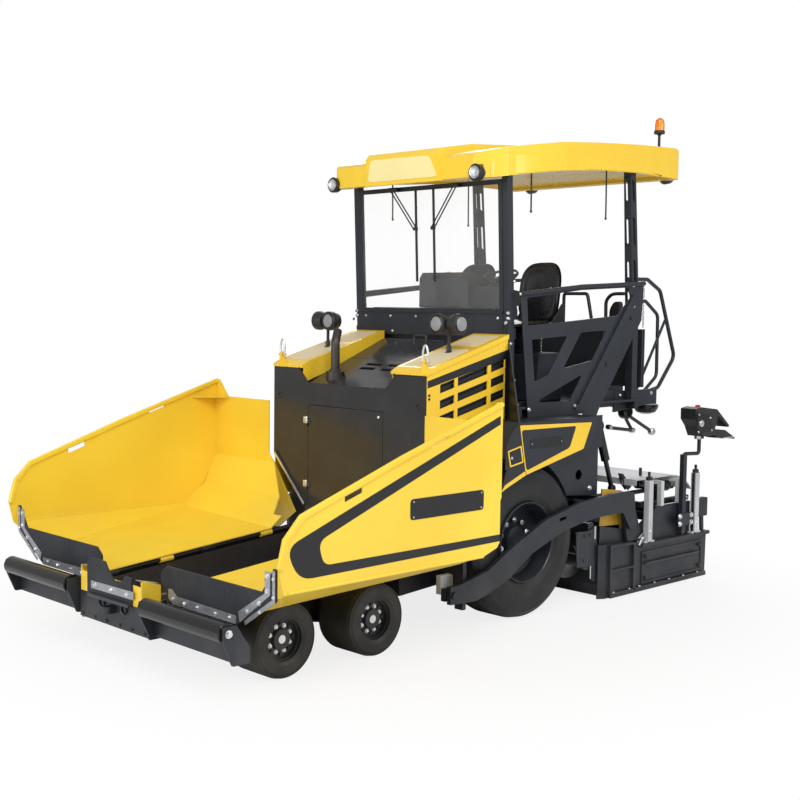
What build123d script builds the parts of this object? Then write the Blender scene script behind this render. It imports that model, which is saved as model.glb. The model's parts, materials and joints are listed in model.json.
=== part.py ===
"""Wheeled asphalt paver: hopper with folding wings, engine hood, roofed platform and floating screed.

Millimetres. +X is the way the machine drives, +Y its left side, +Z up. The tables below count x from the
rear axle; save() moves every piece so that the origin lies on the ground at the middle of the machine.
"""
from build123d import *
import math
import os

os.makedirs("parts", exist_ok=True)

# ---------------------------------------------------------------- driving sizes
PIN_GAP = 0.6            # round a pin in its bore
MOVING_GAP = 6.0         # between pieces that pass each other
SEAT_GAP = 0.3           # between curved faces of two bodies

REAR_TYRE_R = 648.0
REAR_TYRE_W = 445.0
REAR_RIM_R = 340.0
REAR_TRACK = 2015.0      # between the middles of the rear tyres
FRONT_TYRE_R = 274.0
FRONT_TYRE_W = 370.0
FRONT_HUB_R = 150.0
FRONT_TRACK = 2090.0
FRONT_AXLES = (2592.0, 1726.0)
KINGPIN_Y = 745.0
KINGPIN_R = 22.0
STUB_R = 34.0

FRAME_Y = 462.0          # outer face of the hopper frame's side plates
FRAME_PLATE = 24.0
FRAME_FRONT_X = 3200.0
REAR_FRAME_Y = 640.0     # outer face of the frame between the rear wheels
REAR_FRAME_BACK_X = -880.0
REAR_FRAME_FRONT_X = 900.0

TROUGH_Y = 420.0         # inside width of the conveyor trough, each side of the middle
TROUGH_FLOOR_Z = 330.0
SHEET = 8.0
CONVEYOR_FRONT_X = 3000.0
CONVEYOR_BACK_X = -630.0
CONVEYOR_WHEEL_R = 42.0
CHAIN_THICK = 18.0
CHAIN_WIDE = 34.0
SCRAPERS = 16            # bars along each run of a conveyor

HINGE_Y = 446.0          # the wing's hinge line, beside the trough
HINGE_FRONT_Z = 525.0    # its height at the hopper's mouth
HINGE_SLOPE = 5.2        # degrees that it climbs towards the engine
HINGE_R = 26.0
HINGE_PIN_R = 12.0
WING_FRONT_X = 3045.0
WING_BACK_X = 990.0
WING_Y = 1790.0          # outer face of the wing's side wall
WING_FLOOR_Y = 1440.0    # where its floor turns up
WING_SHEET = 10.0
WING_FOLD = 45.0         # degrees from open to folded

HOOD_Y = 955.0           # half width of the engine hood
HOOD_SHEET = 12.0
HOOD_FRONT_X = 953.0
HOOD_BACK_X = -20.0
HOOD_FRONT_Z = 2060.0
HOOD_BACK_Z = 2345.0
BULKHEAD_X = 965.0       # front face of the engine bulkhead
BULKHEAD_PLATE = 12.0
DOOR_LEFT_Y = 470.0
DOOR_RIGHT_Y = -483.0
DOOR_LOW_Z = 860.0
DOOR_TOP_Z = 1740.0

SKIRT_Y = 1270.0         # outer face of the fender skirt
SKIRT_PLATE = 10.0
DECK_Z = 1760.0          # top of the operator's platform
DECK_BACK_X = -1880.0
DECK_FRONT_X = -90.0
SIDE_Y = 1010.0          # outer face of the platform's side plates
SIDE_PLATE = 10.0
ROOF_Y = 1040.0
POST_Y = 930.0
SCREEN_X = -30.0         # front face of the windscreen frame at its foot

TOW_X = 950.0            # pivot of the tow arms
TOW_Z = 350.0
SCREED_HALF = 1240.0     # half width of the screed, drawn in
ARM_Y = SCREED_HALF + 6  # inner face of the tow arms
ARM_PLATE = 40.0
SCREED_REACH = 950.0     # travel of each extension
GROUND_GAP = 12.0        # under the screed's plates
AUGER_X = -880.0
AUGER_Z = 360.0
AUGER_R = 180.0
AUGER_TUBE_R = 55.0
AUGER_SHAFT_R = 26.0
FLIGHT_PITCH = 260.0
FLIGHT_LONG = 1000.0
FLIGHT_THICK = 10.0

PUSH_X = 3264.0          # axis of the push rollers
PUSH_Z = 482.0
PUSH_R = 70.0

REAR_TIP_X = -2980.0     # rearmost point: the tray of the screed's side controls
FRONT_TIP_X = PUSH_X + PUSH_R
ORIGIN_X = (FRONT_TIP_X + REAR_TIP_X) / 2

SIDES = ((1, "left"), (-1, "right"))


# ---------------------------------------------------------------- making shapes
def block(x, y, z):
    """A box between pairs of limits."""
    size = Box(x[1] - x[0], y[1] - y[0], z[1] - z[0])
    return Pos((x[0] + x[1]) / 2, (y[0] + y[1]) / 2, (z[0] + z[1]) / 2) * size


def plate_xz(points, y, radius=0):
    """An outline of (x, z) points between two y limits, its corners rounded."""
    return outline([(px, 0, pz) for px, pz in points], (0, y[0], 0), (0, y[1] - y[0], 0), radius)


def plate_yz(points, x, radius=0):
    """An outline of (y, z) points between two x limits."""
    return outline([(0, py, pz) for py, pz in points], (x[0], 0, 0), (x[1] - x[0], 0, 0), radius)


def plate_xy(points, z, radius=0):
    """An outline of (x, y) points between two z limits."""
    return outline([(px, py, 0) for px, py in points], (0, 0, z[0]), (0, 0, z[1] - z[0]), radius)


def outline(points, start, direction, radius=0):
    """An outline pushed along a direction; radius is one value or one for each corner."""
    if radius:
        wire = Wire(FilletPolyline(*points, radius=radius, close=True).edges())
    else:
        wire = Wire.make_polygon([Vector(*point) for point in points], close=True)
    return Solid.extrude(Face(wire).moved(Location(start)), Vector(*direction))


def rod(start, end, radius):
    """A round bar between two points."""
    start, end = Vector(*start), Vector(*end)
    return Solid.make_cylinder(radius, (end - start).length, Plane(start, z_dir=end - start))


def pipe(start, end, radius, bore):
    """A tube between two points."""
    return rod(start, end, radius) - rod(start, end, bore)


def bent_bar(points, radius, bend):
    """A round bar along straight runs joined by bends."""
    path = FilletPolyline(*points, radius=bend)
    start = path @ 0
    section = Plane(start, z_dir=path % 0) * Circle(radius)
    return sweep(section, path=path)


def turned(profile, centre, axis):
    """A piece turned from (radius, along) points about a line through centre along +X or +Y."""
    if axis == "y":
        points = [(radius, along, 0) for radius, along in profile]
        face = Face(Wire.make_polygon([Vector(*p) for p in points], close=True))
        return Pos(*centre) * revolve(face, Axis.Y)
    points = [(along, radius, 0) for radius, along in profile]
    face = Face(Wire.make_polygon([Vector(*p) for p in points], close=True))
    return Pos(*centre) * revolve(face, Axis.X)


def mirrored(shape):
    """The same piece on the right side."""
    return mirror(shape, Plane.XZ)


def both(shape):
    """A piece and its twin on the other side."""
    return shape, mirrored(shape)


def fuse(*shapes):
    """Pieces joined to one solid."""
    whole = shapes[0]
    for shape in shapes[1:]:
        whole = whole + shape
    return whole


def above(shape, start, end):
    """The part of a shape over the line between two (x, z) points."""
    under = plate_xz([start, end, (end[0], 0), (start[0], 0)], (-1500, 1500))
    return shape - under


def save(node, *shapes):
    """Writes a node from its solids, moved to the machine's origin."""
    solids = [solid for shape in shapes for solid in shape.solids()]
    export_step(Pos(-ORIGIN_X, 0, 0) * Compound(children=solids), f"parts/{node}.step")


def hinge_z(x):
    """Height of the wing's hinge line at x."""
    return HINGE_FRONT_Z + (WING_FRONT_X - x) * math.tan(math.radians(HINGE_SLOPE))


# ---------------------------------------------------------------- frame and running gear
FRAME_LOW_Z = 230.0
HINGE_DROP = 60.0        # from the hinge line down to the frame's top edge
BARRELS = (1060, 2000, 2900)      # x of the hinge barrels on the frame
WING_BARRELS = (1400, 2400)       # x of those on the wing
BARREL_LONG = 120.0
SKIRT_LOW_Z = 243.0
EYE_Z = (350.0, 400.0)   # lower and upper face of the tow lug
TOW_PIN_R = 28.0
TIE_XS = (1000, 1700, 2300, 2880)
BOGIE_X = sum(FRONT_AXLES) / 2
BOGIE_IN_Y = FRAME_Y + 98
BOGIE_OUT_Y = BOGIE_IN_Y + 40
BOGIE_TOP_Z = 392.0
BOGIE_LOW_Z = 150.0
KNUCKLE_LOW_Z = 176.0
KNUCKLE_TOP_Z = 366.0


def hinge_point(x, side=1):
    """A point on a wing's hinge line."""
    return (x, side * HINGE_Y, hinge_z(x))


def frame_barrel(x):
    """One hinge barrel on the frame, with the web that carries it."""
    barrel = rod(hinge_point(x), hinge_point(x + BARREL_LONG), HINGE_R)
    web = plate_xz(
        [
            (x, hinge_z(x) - HINGE_DROP - 5), (x + BARREL_LONG, hinge_z(x + BARREL_LONG) - HINGE_DROP - 5),
            (x + BARREL_LONG, hinge_z(x + BARREL_LONG) - 5), (x, hinge_z(x) - 5),
        ],
        (HINGE_Y - 8, HINGE_Y + 8),
    )
    return barrel + web


def main_frame():
    """Side plates under the hopper, the wider box between the rear wheels, ties, skirt and tow rails."""
    side = plate_xz(
        [
            (REAR_FRAME_FRONT_X, FRAME_LOW_Z), (FRAME_FRONT_X, FRAME_LOW_Z), (FRAME_FRONT_X, 450),
            (WING_FRONT_X, hinge_z(WING_FRONT_X) - HINGE_DROP),
            (REAR_FRAME_FRONT_X, hinge_z(REAR_FRAME_FRONT_X) - HINGE_DROP),
        ],
        (FRAME_Y - FRAME_PLATE, FRAME_Y),
    )
    rear_side = plate_xz(
        [
            (REAR_FRAME_BACK_X, 640), (-570, 330), (REAR_FRAME_FRONT_X, FRAME_LOW_Z),
            (REAR_FRAME_FRONT_X, 1250), (REAR_FRAME_BACK_X, 1250),
        ],
        (REAR_FRAME_Y - FRAME_PLATE, REAR_FRAME_Y),
    )
    shoulder = block(
        (REAR_FRAME_FRONT_X - FRAME_PLATE, REAR_FRAME_FRONT_X + FRAME_PLATE),
        (FRAME_Y - FRAME_PLATE, REAR_FRAME_Y),
        (FRAME_LOW_Z, 1250),
    )
    pin = rod(hinge_point(BARRELS[0]), hinge_point(BARRELS[-1] + BARREL_LONG), HINGE_PIN_R)
    left = fuse(side, rear_side, shoulder, pin, *[frame_barrel(x) for x in BARRELS])
    ties = [block((x, x + 60), (-FRAME_Y + 1, FRAME_Y - 1), (270, 320)) for x in TIE_XS]
    inside = REAR_FRAME_Y - 1
    back = block((REAR_FRAME_BACK_X, REAR_FRAME_BACK_X + 20), (-inside, inside), (780, 1249))
    floor = block((REAR_FRAME_BACK_X, REAR_FRAME_FRONT_X), (-inside, inside), (740, 752))
    rear_tie = block((-420, -340), (-inside, inside), (270, 320))
    skirt = block((FRAME_FRONT_X, FRAME_FRONT_X + 14), (-FRAME_Y, FRAME_Y), (SKIRT_LOW_Z, 450))
    eye_x = FRAME_FRONT_X + 62
    eye = block((FRAME_FRONT_X + 13, eye_x), (-38, 38), EYE_Z) + rod((eye_x, 0, EYE_Z[0]), (eye_x, 0, EYE_Z[1]), 38)
    eye = eye - rod((eye_x, 0, EYE_Z[0] - 5), (eye_x, 0, EYE_Z[1] + 5), 16)
    rail_y = (ARM_Y - 96, ARM_Y - 10)
    rail = block((760, 800), rail_y, (200, 900))
    outrigger = block((764, 796), (inside, rail_y[0] + 10), (470, 560))
    bracket = block((790, TOW_X + 50), (rail_y[1] - 46, rail_y[1]), (TOW_Z - 50, TOW_Z + 50))
    tow_pin = rod((TOW_X, rail_y[1] - 6, TOW_Z), (TOW_X, ARM_Y + ARM_PLATE + 14, TOW_Z), TOW_PIN_R)
    tow = fuse(rail, outrigger, bracket, tow_pin)
    return fuse(left, mirrored(left), *ties, rear_tie, back, floor, skirt, eye, tow, mirrored(tow))


def bogie():
    """Left rocker that carries two front wheels, with the forks for their kingpins."""
    beam = plate_xz(
        [
            (FRONT_AXLES[1] - 60, BOGIE_LOW_Z), (FRONT_AXLES[1] + 60, BOGIE_LOW_Z), (BOGIE_X, BOGIE_LOW_Z + 100),
            (FRONT_AXLES[0] - 60, BOGIE_LOW_Z), (FRONT_AXLES[0] + 60, BOGIE_LOW_Z),
            (FRONT_AXLES[0] + 60, BOGIE_TOP_Z), (FRONT_AXLES[1] - 60, BOGIE_TOP_Z),
        ],
        (BOGIE_IN_Y, BOGIE_OUT_Y),
        radius=20,
    )
    pivot = rod((BOGIE_X, FRAME_Y, 330), (BOGIE_X, BOGIE_OUT_Y + 25, 330), 52)
    whole = beam + pivot
    for x in FRONT_AXLES:
        web = block((x - 45, x + 45), (BOGIE_OUT_Y - 5, BOGIE_OUT_Y + 40), (BOGIE_LOW_Z, BOGIE_TOP_Z))
        ears = web
        for low, high in ((BOGIE_LOW_Z, KNUCKLE_LOW_Z - MOVING_GAP), (KNUCKLE_TOP_Z + MOVING_GAP, BOGIE_TOP_Z)):
            ear = block((x - 45, x + 45), (BOGIE_OUT_Y + 35, KINGPIN_Y), (low, high)) + rod(
                (x, KINGPIN_Y, low), (x, KINGPIN_Y, high), 45
            )
            ears = ears + ear
        ears = ears - rod((x, KINGPIN_Y, BOGIE_LOW_Z - 10), (x, KINGPIN_Y, BOGIE_TOP_Z + 8), KINGPIN_R + PIN_GAP)
        whole = whole + ears
    return whole


def knuckle(x):
    """Left steering knuckle: kingpin, body and stub axle."""
    pin = rod((x, KINGPIN_Y, BOGIE_LOW_Z + 2), (x, KINGPIN_Y, BOGIE_TOP_Z - 2), KINGPIN_R)
    body = rod((x, KINGPIN_Y, KNUCKLE_LOW_Z), (x, KINGPIN_Y, KNUCKLE_TOP_Z), 42)
    flange = rod((x, KINGPIN_Y + 20, FRONT_TYRE_R), (x, FRONT_TRACK / 2 - 152, FRONT_TYRE_R), 60)
    stub = rod((x, KINGPIN_Y, FRONT_TYRE_R), (x, FRONT_TRACK / 2 + 100, FRONT_TYRE_R), STUB_R)
    return fuse(pin, body, flange, stub)


def front_tyre(x):
    half = FRONT_TYRE_W / 2
    profile = [
        (FRONT_HUB_R, -half + 14), (FRONT_HUB_R + 30, -half), (FRONT_TYRE_R - 34, -half),
        (FRONT_TYRE_R - 10, -half + 14), (FRONT_TYRE_R, -half + 40), (FRONT_TYRE_R, half - 40),
        (FRONT_TYRE_R - 10, half - 14), (FRONT_TYRE_R - 34, half), (FRONT_HUB_R + 30, half),
        (FRONT_HUB_R, half - 14),
    ]
    return turned(profile, (x, FRONT_TRACK / 2, FRONT_TYRE_R), "y")


def front_hub(x):
    bore = STUB_R + PIN_GAP
    profile = [
        (bore, -140), (95, -140), (95, 90), (FRONT_HUB_R - 12, 90), (FRONT_HUB_R - 12, -150),
        (FRONT_HUB_R, -150), (FRONT_HUB_R, 150), (FRONT_HUB_R - 12, 150), (FRONT_HUB_R - 12, 112),
        (80, 112), (72, 140), (0, 140), (0, 108), (bore, 108),
    ]
    hub = turned(profile, (x, FRONT_TRACK / 2, FRONT_TYRE_R), "y")
    studs = [
        Pos(x, FRONT_TRACK / 2, FRONT_TYRE_R) * Rot(0, 45 * n, 0) * rod((0, 111, 108), (0, 128, 108), 11)
        for n in range(8)
    ]
    return fuse(hub, *studs)


def rear_tyre():
    half = REAR_TYRE_W / 2
    outer = [
        (REAR_RIM_R, -half + 26), (REAR_RIM_R + 60, -half + 4), (REAR_TYRE_R - 150, -half),
        (REAR_TYRE_R - 60, -half + 14), (REAR_TYRE_R - 14, -half + 52), (REAR_TYRE_R, -half + 110),
    ]
    profile = outer + [(radius, -along) for radius, along in reversed(outer)]
    return turned(profile, (0, REAR_TRACK / 2, REAR_TYRE_R), "y")


def rear_rim():
    half = REAR_TYRE_W / 2
    profile = [
        (REAR_RIM_R - 14, -half + 12), (REAR_RIM_R, -half + 12), (REAR_RIM_R, half - 12),
        (REAR_RIM_R - 14, half - 12), (REAR_RIM_R - 34, 96), (REAR_RIM_R - 34, 60), (210, 44),
        (130, 44), (118, 100), (60, 112), (0, 112), (0, -150), (100, -150), (100, 24), (210, 24),
        (REAR_RIM_R - 48, 40), (REAR_RIM_R - 48, -60),
    ]
    rim = turned(profile, (0, REAR_TRACK / 2, REAR_TYRE_R), "y")
    studs = [
        Pos(0, REAR_TRACK / 2, REAR_TYRE_R) * Rot(0, 36 * n, 0) * rod((0, 40, 172), (0, 70, 172), 15)
        for n in range(10)
    ]
    return fuse(rim, *studs)


def rear_drive():
    """Left final drive, bolted to the frame beside the wheel."""
    profile = [(0, 0), (215, 0), (215, 40), (170, 60), (170, 150), (120, 196), (0, 196)]
    return turned(profile, (0, REAR_FRAME_Y, REAR_TYRE_R), "y")


# ---------------------------------------------------------------- hopper
def trough():
    """Sheets beside and under the conveyors, and the ridge between them."""
    top = hinge_z(REAR_FRAME_FRONT_X) - 30
    side = plate_xz(
        [
            (CONVEYOR_BACK_X + 60, TROUGH_FLOOR_Z - SHEET), (FRAME_FRONT_X, TROUGH_FLOOR_Z - SHEET),
            (FRAME_FRONT_X, 440), (WING_FRONT_X, hinge_z(WING_FRONT_X) - 30),
            (REAR_FRAME_FRONT_X, top), (CONVEYOR_BACK_X + 60, top),
        ],
        (TROUGH_Y - SHEET, TROUGH_Y),
    )
    stay = block((1000, 2900), (TROUGH_Y - 1, FRAME_Y - FRAME_PLATE), (400, 412))
    floor = block(
        (CONVEYOR_BACK_X + 60, CONVEYOR_FRONT_X - 70), (-TROUGH_Y + 1, TROUGH_Y - 1),
        (TROUGH_FLOOR_Z - SHEET, TROUGH_FLOOR_Z),
    )
    ridge = plate_yz(
        [(-38, TROUGH_FLOOR_Z - 2), (38, TROUGH_FLOOR_Z - 2), (26, 420), (-26, 420)],
        (CONVEYOR_BACK_X + 60, CONVEYOR_FRONT_X - 40),
    )
    return fuse(side, mirrored(side), stay, mirrored(stay), floor, ridge)


def conveyor():
    """Left conveyor: two strands and the bars between them, as one fixed loop."""
    low, high = 70.0, 386.0
    centre_z = TROUGH_FLOOR_Z + SEAT_GAP - CONVEYOR_WHEEL_R
    outer_r = CONVEYOR_WHEEL_R + CHAIN_THICK

    def loop(radius, y):
        run = block((CONVEYOR_BACK_X, CONVEYOR_FRONT_X), y, (centre_z - radius, centre_z + radius))
        ends = [rod((x, y[0], centre_z), (x, y[1], centre_z), radius) for x in (CONVEYOR_BACK_X, CONVEYOR_FRONT_X)]
        return fuse(run, *ends)

    whole = None
    for y in ((low, low + CHAIN_WIDE), (high - CHAIN_WIDE, high)):
        strand = loop(outer_r, y) - loop(CONVEYOR_WHEEL_R, (y[0] - 1, y[1] + 1))
        whole = strand if whole is None else whole + strand
    pitch = (CONVEYOR_FRONT_X - CONVEYOR_BACK_X) / SCRAPERS
    for n in range(SCRAPERS):
        x = CONVEYOR_BACK_X + pitch * (n + 0.5)
        for z in (centre_z + CONVEYOR_WHEEL_R, centre_z - outer_r):
            whole = whole + block((x - 20, x + 20), (low + CHAIN_WIDE - 4, high - CHAIN_WIDE + 4), (z + 1, z + CHAIN_THICK))
    return whole


def hopper_nose():
    """Cheeks in front of the conveyors and the cross sheet that carries the middle apron."""
    cheek = plate_xz(
        [(3076, 470), (3200, 452), (3236, 452), (3236, 640), (3200, 640), (3076, 600)],
        (400, TROUGH_Y - SHEET),
    )
    sheet = block((3224, 3236), (-401, 401), (452, 600))
    cover = block((3076, 3236), (-401, 401), (452, 460))
    return fuse(cheek, mirrored(cheek), sheet, cover)


def apron_middle():
    return plate_yz(
        [
            (-300, 444), (300, 444), (300, 650), (210, 655), (165, 605), (60, 600), (0, 650), (-60, 720),
            (-240, 720), (-300, 680),
        ],
        (3236, 3250),
    )


def apron():
    """Left rubber apron, hung across the mouth of the wing."""
    return plate_yz(
        [
            (400, 556), (1440, 556), (1706, 700), (1706, 915), (1680, 915), (1560, 745), (470, 745), (400, 690),
        ],
        (WING_FRONT_X + 10, WING_FRONT_X + 24),
    )


FLOOR_RISE = 0.02        # of the wing's floor, outwards
SEAM_Z = 757.0           # bottom of the wing's side wall
SCOOP = ((1000, 1170), (1135, 920), (1400, 712))     # (x, z) folds of its rear wall
WING_TOP = ((3112, 930), (3064, 1116), (2925, 1261), (2036, 1569), (960, 1909))
BEAD = 26.0              # depth of the rolled rim along the wing's top


def below(solid, points, inset):
    """Cuts away what lies under the plane through three points, raised by inset."""
    a, b, c = (Vector(*point) for point in points)
    normal = (b - a).cross(c - a).normalized()
    if normal.Z < 0:
        normal = normal * -1
    return split(solid, bisect_by=Plane(a + normal * inset, z_dir=normal), keep=Keep.TOP)


def wing_space(inset):
    """The left wing's space, closed below, behind and outside by faces moved in by inset."""
    outer = WING_Y - inset
    open_by = 400 if inset else 0
    solid = block((WING_BACK_X + inset, 3200 + open_by), (HINGE_Y - 22 - open_by, outer), (300, 2300))
    front = (WING_FRONT_X, HINGE_Y, hinge_z(WING_FRONT_X) + HINGE_R)
    back = (WING_BACK_X, HINGE_Y, hinge_z(WING_BACK_X) + HINGE_R)
    rise = FLOOR_RISE * (WING_FLOOR_Y - HINGE_Y)
    solid = below(solid, (front, back, (front[0], WING_FLOOR_Y, front[2] + rise)), inset)
    turn = (2975, WING_FLOOR_Y, hinge_z(2975) + HINGE_R + rise)
    solid = below(solid, (turn, (2975, WING_Y, SEAM_Z), (1180, WING_Y, SEAM_Z)), inset)
    for (x0, z0), (x1, z1) in zip(SCOOP, SCOOP[1:]):
        solid = below(solid, ((x0, 0, z0), (x0, 500, z0), (x1, 0, z1)), inset)
    return solid


def wing():
    """Left hopper wing: floor, chamfer, side wall, scooped rear wall, rim and hinge barrels."""
    shell = wing_space(0) - wing_space(WING_SHEET)
    side_view = plate_xz(
        [(900, 400), (WING_FRONT_X, 400), (WING_FRONT_X, 700), (3080, 790), *WING_TOP, (900, 1928)], (0, 1900)
    )
    shell = shell & side_view
    rear_view = plate_yz(
        [
            (HINGE_Y - 30, 400), (1900, 400), (1900, 2000), (WING_Y, 1960), (1600, 1745), (985, 1745), (985, 1270),
            (540, 800), (HINGE_Y - 30, 800),
        ],
        (900, 1450),
    )
    shell = shell & (rear_view + block((1449, 3300), (0, 1900), (300, 2300)))
    edge = [WING_TOP[0], WING_TOP[1], WING_TOP[2], WING_TOP[3], (WING_BACK_X, 1899)]
    inner = [(x - 14, z - BEAD) for x, z in reversed(edge[2:])]
    inner = [(WING_BACK_X, 1899 - BEAD), *inner[1:], (edge[1][0] - BEAD, edge[1][1] - 12), (edge[0][0] - BEAD, edge[0][1])]
    rim = plate_xz([*edge, *inner], (WING_Y - 30, WING_Y + 12))
    slots = [
        plate_xz([(x, z), (x - 160, z + 52), (x - 160, z + 12), (x, z - 40)], (WING_Y - 50, WING_Y + 50))
        for x, z in ((2560, 1345), (1745, 1652))
    ]
    wing_body = shell + rim
    for slot in slots:
        wing_body = wing_body - slot
    gusset = plate_xy([(WING_BACK_X + 5, WING_Y - 5), (1290, WING_Y - 5), (WING_BACK_X + 5, 1560)], (1735, 1743))
    wing_body = wing_body + gusset
    for x in WING_BARRELS:
        start, end = hinge_point(x), hinge_point(x + BARREL_LONG)
        barrel = rod(start, end, HINGE_R) + plate_xz(
            [
                (x, start[2]), (x + BARREL_LONG, end[2]),
                (x + BARREL_LONG, end[2] + HINGE_R + 4), (x, start[2] + HINGE_R + 4),
            ],
            (HINGE_Y - 14, HINGE_Y + 30),
        )
        wing_body = wing_body + barrel
    wing_body = wing_body - rod(hinge_point(WING_BACK_X - 50), hinge_point(3200), HINGE_PIN_R + PIN_GAP)
    for x in BARRELS:
        room = rod(hinge_point(x - MOVING_GAP), hinge_point(x + BARREL_LONG + MOVING_GAP), HINGE_R + 0.5)
        wing_body = wing_body - room
    return wing_body


def push_bracket():
    """Left bracket of a push roller: box beam, end plates and the roller's pin."""
    beam = block((3090, 3180), (FRAME_Y, 1440), (262, 372))
    ends = [
        plate_xz([(3100, 262), (3230, 262), (PUSH_X + 45, 440), (PUSH_X + 45, 530), (3200, 530), (3100, 380)], (y, y + 18), 12)
        for y in (482, 1452)
    ]
    beam = beam + block((3090, 3180), (FRAME_Y, 1470), (262, 372))
    pin = rod((PUSH_X, 482, PUSH_Z), (PUSH_X, 1476, PUSH_Z), 20)
    return fuse(beam, *ends, pin)


def push_roller():
    return pipe((PUSH_X, 506, PUSH_Z), (PUSH_X, 1446, PUSH_Z), PUSH_R, 20 + PIN_GAP)



# ---------------------------------------------------------------- engine, hood and bulkhead
ENGINE = ((80, 860), (-360, 360), (752, 1700))
DOOR_GAP = 5.0
DOOR_HINGE_R = 9.0
DOOR_HINGE_X = BULKHEAD_X + DOOR_HINGE_R + 1
DOOR_HINGE_Y = DOOR_RIGHT_Y - 4
DOOR_HINGES = (1020.0, 1580.0)
RECESS_Y = 560.0         # half width of the sunk middle of the hood's top
LID_FRONT_X = 400.0
LOUVRE_COLUMNS = ((800, 631), (593, 233), (191, 20))     # x limits of each column
LOUVRE_TOP_Z = 1982.0    # upper front corner of the first slot
LOUVRE_PITCH = 126.0
LOUVRE_HIGH = 72.0
LOUVRE_ROWS = 7
LOUVRE_SLOPE = 0.25
LIFT_EYE_X = 916.0
LIFT_EYE_Z = 2160.0
LIFT_EYE_R = 13.0
HOOD_LOW_Z = 2 * REAR_TYRE_R + 64        # lower edge of the hood's sides, over the rear wheel


def hood_z(x):
    """Height of the hood's top edge at x."""
    share = (HOOD_FRONT_X - x) / (HOOD_FRONT_X - HOOD_BACK_X)
    return HOOD_FRONT_Z + share * (HOOD_BACK_Z - HOOD_FRONT_Z)


def bulkhead():
    """Front wall of the engine bay, with its doorway."""
    half = [
        (490, 1932), (600, 2048), (HOOD_Y, 2048), (HOOD_Y, 1290), (512, 834), (512, 622),
    ]
    points = half + [(-y, z) for y, z in reversed(half)]
    wall = plate_yz(points, (BULKHEAD_X - BULKHEAD_PLATE, BULKHEAD_X))
    doorway = plate_yz(
        [(DOOR_RIGHT_Y, DOOR_LOW_Z), (DOOR_LEFT_Y, DOOR_LOW_Z), (DOOR_LEFT_Y, DOOR_TOP_Z), (DOOR_RIGHT_Y, DOOR_TOP_Z)],
        (BULKHEAD_X - 50, BULKHEAD_X + 50),
        radius=20,
    )
    wall = wall - doorway
    for y in (870, -870):
        wall = wall - rod((BULKHEAD_X - 50, y, 1800), (BULKHEAD_X + 50, y, 1800), 22)
    for z in DOOR_HINGES:
        wall = wall + hinge_leaf(z - 30, -1)
    stiffener = plate_yz(
        [(-505, 626), (505, 626), (505, 700), (-505, 700)], (BULKHEAD_X - 40, BULKHEAD_X - BULKHEAD_PLATE + 1)
    )
    wear = plate_yz(
        [(940, 1279), (916, 1301), (501, 875), (525, 852)], (BULKHEAD_X, BULKHEAD_X + 14)
    )
    whole = fuse(wall, stiffener, wear, mirrored(wear))
    for side in (1, -1):
        notch = sorted((side * (TROUGH_Y - SHEET - MOVING_GAP), side * (FRAME_Y + MOVING_GAP)))
        whole = whole - block((900, 1000), notch, (600, 698))
    return whole


def hinge_leaf(z, way):
    """One knuckle of a door hinge with its leaf; way is -1 on the wall and 1 on the door."""
    barrel = rod((DOOR_HINGE_X, DOOR_HINGE_Y, z), (DOOR_HINGE_X, DOOR_HINGE_Y, z + 28), DOOR_HINGE_R)
    leaf_y = sorted((DOOR_HINGE_Y, DOOR_HINGE_Y + way * 40))
    leaf = block((BULKHEAD_X + 1, BULKHEAD_X + 6), leaf_y, (z, z + 28))
    foot_y = sorted((DOOR_HINGE_Y + way * 16, DOOR_HINGE_Y + way * 40))
    return fuse(barrel, leaf, block((BULKHEAD_X, BULKHEAD_X + 2), foot_y, (z, z + 28)))


def bulkhead_door():
    panel = plate_yz(
        [
            (DOOR_RIGHT_Y + DOOR_GAP, DOOR_LOW_Z + DOOR_GAP), (DOOR_LEFT_Y - DOOR_GAP, DOOR_LOW_Z + DOOR_GAP),
            (DOOR_LEFT_Y - DOOR_GAP, DOOR_TOP_Z - DOOR_GAP), (DOOR_RIGHT_Y + DOOR_GAP, DOOR_TOP_Z - DOOR_GAP),
        ],
        (BULKHEAD_X - BULKHEAD_PLATE, BULKHEAD_X),
        radius=18,
    )
    latch = rod((BULKHEAD_X - 1, DOOR_LEFT_Y - 50, DOOR_TOP_Z - 50), (BULKHEAD_X + 8, DOOR_LEFT_Y - 50, DOOR_TOP_Z - 50), 12)
    return fuse(panel, latch, *[hinge_leaf(z, 1) for z in DOOR_HINGES])


def louvre(row, column):
    x0, x1 = column
    z0 = LOUVRE_TOP_Z - row * LOUVRE_PITCH + (LOUVRE_COLUMNS[0][0] - x0) * LOUVRE_SLOPE
    z1 = z0 + (x0 - x1) * LOUVRE_SLOPE
    return plate_xz(
        [(x0, z0), (x1, z1), (x1, z1 - LOUVRE_HIGH), (x0, z0 - LOUVRE_HIGH)], (HOOD_Y - 60, HOOD_Y + 40)
    )


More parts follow.
